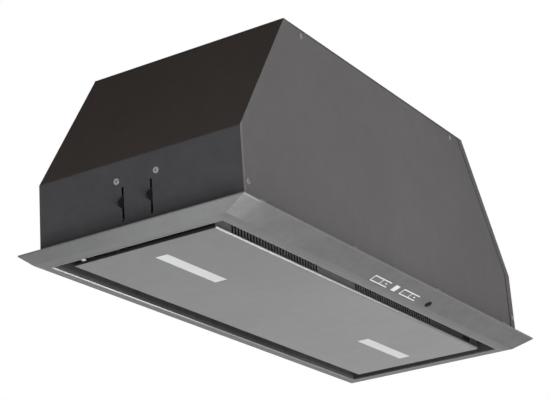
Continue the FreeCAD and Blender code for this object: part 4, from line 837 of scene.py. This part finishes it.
def casing_screws():
    """The same screws as the solids, each with its head the way that the solid has it."""
    mesh = bmesh.new()
    middle = (CAD_BOX[0] + CAD_BOX[1]) / 2
    for index, (low, high) in enumerate(islands(frame["nodes"]["casing_screws"], ISLAND_REACH)):
        centre = (low + high) / 2
        if high.z - low.z > high.y - low.y:
            way = Vector((0, 0, 1))
            place = Vector((centre.x, centre.y, high.z - SCREW_RISE))
        elif centre.y < middle.y:
            way = Vector((0, -1, 0))
            place = Vector((centre.x, low.y + SCREW_RISE, centre.z))
        else:
            way = Vector((0, 1, 0))
            place = Vector((centre.x, high.y - SCREW_RISE, centre.z))
        screw(mesh, pointing(place, way) @ Matrix.Rotation(SCREW_TURN * index, 4, "Z"))
    obj = finished("screw_heads", mesh, "hood", "screw_zinc", SCREW_SMOOTH)
    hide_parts("casing_screws")


casing_screws()


# Floor, lights and camera
def seen_rays(nodes, links):
    """1 for rays from the camera, a reflection or glass, 0 for the rays that light the object."""
    rays = nodes.new("ShaderNodeLightPath")
    total = rays.outputs["Is Camera Ray"]
    for name in ("Is Glossy Ray", "Is Transmission Ray"):
        either = nodes.new("ShaderNodeMath")
        either.operation = "MAXIMUM"
        links.new(total, either.inputs[0])
        links.new(rays.outputs[name], either.inputs[1])
        total = either.outputs["Value"]
    return total


def mixed_shader(nodes, links, factor, first, second):
    """The first shader where the factor is 0 and the second where it's 1."""
    mix = nodes.new("ShaderNodeMixShader")
    for source, target in zip((factor, first, second), mix.inputs):
        links.new(source, target)
    return mix.outputs["Shader"]


def floor_paint():
    """Pale floor, which looks nearly white but keeps a soft shadow, and is clear from below."""
    paint = Paint("floor")
    nodes, links = paint.nodes, paint.links
    paint.colour(paint.spread(paint.noise(FLOOR_CLOUDS), FLOOR_COLOUR, 0.99, 1.01))
    paint.value("Roughness", FLOOR_ROUGHNESS)
    glow = nodes.new("ShaderNodeEmission")
    glow.inputs["Strength"].default_value = BACKGROUND
    reach = nodes.new("ShaderNodeVectorMath")
    reach.operation = "LENGTH"
    links.new(paint.place, reach.inputs[0])
    grown = nodes.new("ShaderNodeMapRange")
    grown.interpolation_type = "SMOOTHSTEP"
    for name, amount in (("From Min", FLOOR_NEAR), ("From Max", FLOOR_FAR), ("To Min", FLOOR_GLOW_SHARE)):
        grown.inputs[name].default_value = amount
    links.new(reach.outputs["Value"], grown.inputs["Value"])
    share = paint.product(seen_rays(nodes, links), grown.outputs["Result"])
    above = mixed_shader(nodes, links, share, paint.shader.outputs["BSDF"], glow.outputs["Emission"])
    under = nodes.new("ShaderNodeNewGeometry").outputs["Backfacing"]
    clear = nodes.new("ShaderNodeBsdfTransparent").outputs["BSDF"]
    links.new(mixed_shader(nodes, links, under, above, clear), nodes["Material Output"].inputs["Surface"])
    return paint.material


def floor():
    mesh = bpy.data.meshes.new("floor")
    half = FLOOR_SIZE / 2
    corners = [(x * half, y * half, -FLOOR_DROP) for x, y in ((-1, -1), (1, -1), (1, 1), (-1, 1))]
    mesh.from_pydata(corners, [], [range(len(corners))])
    obj = bpy.data.objects.new("floor", mesh)
    bpy.context.scene.collection.objects.link(obj)
    obj.data.materials.append(floor_paint())


def area_light(name, place, aim, size, power, colour):
    data = bpy.data.lights.new(name, "AREA")
    data.shape = "DISK"
    data.size = size
    data.energy = power
    data.color = colour
    obj = bpy.data.objects.new(name, data)
    obj.location = place
    obj.rotation_mode = "QUATERNION"
    obj.rotation_quaternion = (Vector(aim) - Vector(place)).to_track_quat("-Z", "Y")
    obj.visible_camera = False
    bpy.context.scene.collection.objects.link(obj)


def background(nodes, colour, strength):
    node = nodes.new("ShaderNodeBackground")
    node.inputs["Color"].default_value = (*colour, 1.0)
    node.inputs["Strength"].default_value = strength
    return node.outputs["Background"]


def world():
    """White to look at, and dim and warm as a light."""
    made = bpy.data.worlds.new("room")
    bpy.context.scene.world = made
    made.use_nodes = True
    nodes, links = made.node_tree.nodes, made.node_tree.links
    nodes.clear()
    seen = background(nodes, WHITE, BACKGROUND)
    light = background(nodes, ROOM_TINT, ROOM_LIGHT)
    output = nodes.new("ShaderNodeOutputWorld")
    links.new(mixed_shader(nodes, links, seen_rays(nodes, links), light, seen), output.inputs["Surface"])


def camera():
    forward = Vector((math.sin(CAMERA_TURN) * math.cos(CAMERA_RISE),
                      math.cos(CAMERA_TURN) * math.cos(CAMERA_RISE), -math.sin(CAMERA_RISE)))
    level = Vector((math.cos(CAMERA_TURN), -math.sin(CAMERA_TURN), 0.0))
    upright = level.cross(forward)
    right = level * math.cos(CAMERA_ROLL) + upright * math.sin(CAMERA_ROLL)
    up = upright * math.cos(CAMERA_ROLL) - level * math.sin(CAMERA_ROLL)
    data = bpy.data.cameras.new("camera")
    data.sensor_width = SENSOR_WIDTH
    data.lens = SENSOR_WIDTH * FOCAL_PIXELS / PICTURE_WIDTH
    data.clip_start = CAMERA_NEAR
    data.clip_end = CAMERA_FAR
    obj = bpy.data.objects.new("camera", data)
    turn = Matrix((right, up, -forward)).transposed().to_4x4()
    place = CAMERA_TARGET - forward * CAMERA_DISTANCE + right * CAMERA_RIGHT + up * CAMERA_UP
    obj.matrix_world = Matrix.Translation(place) @ turn
    bpy.context.scene.collection.objects.link(obj)
    bpy.context.scene.camera = obj


floor()
world()
for lamp in LAMPS:
    area_light(*lamp)
camera()
bpy.context.scene.view_settings.view_transform = "Standard"
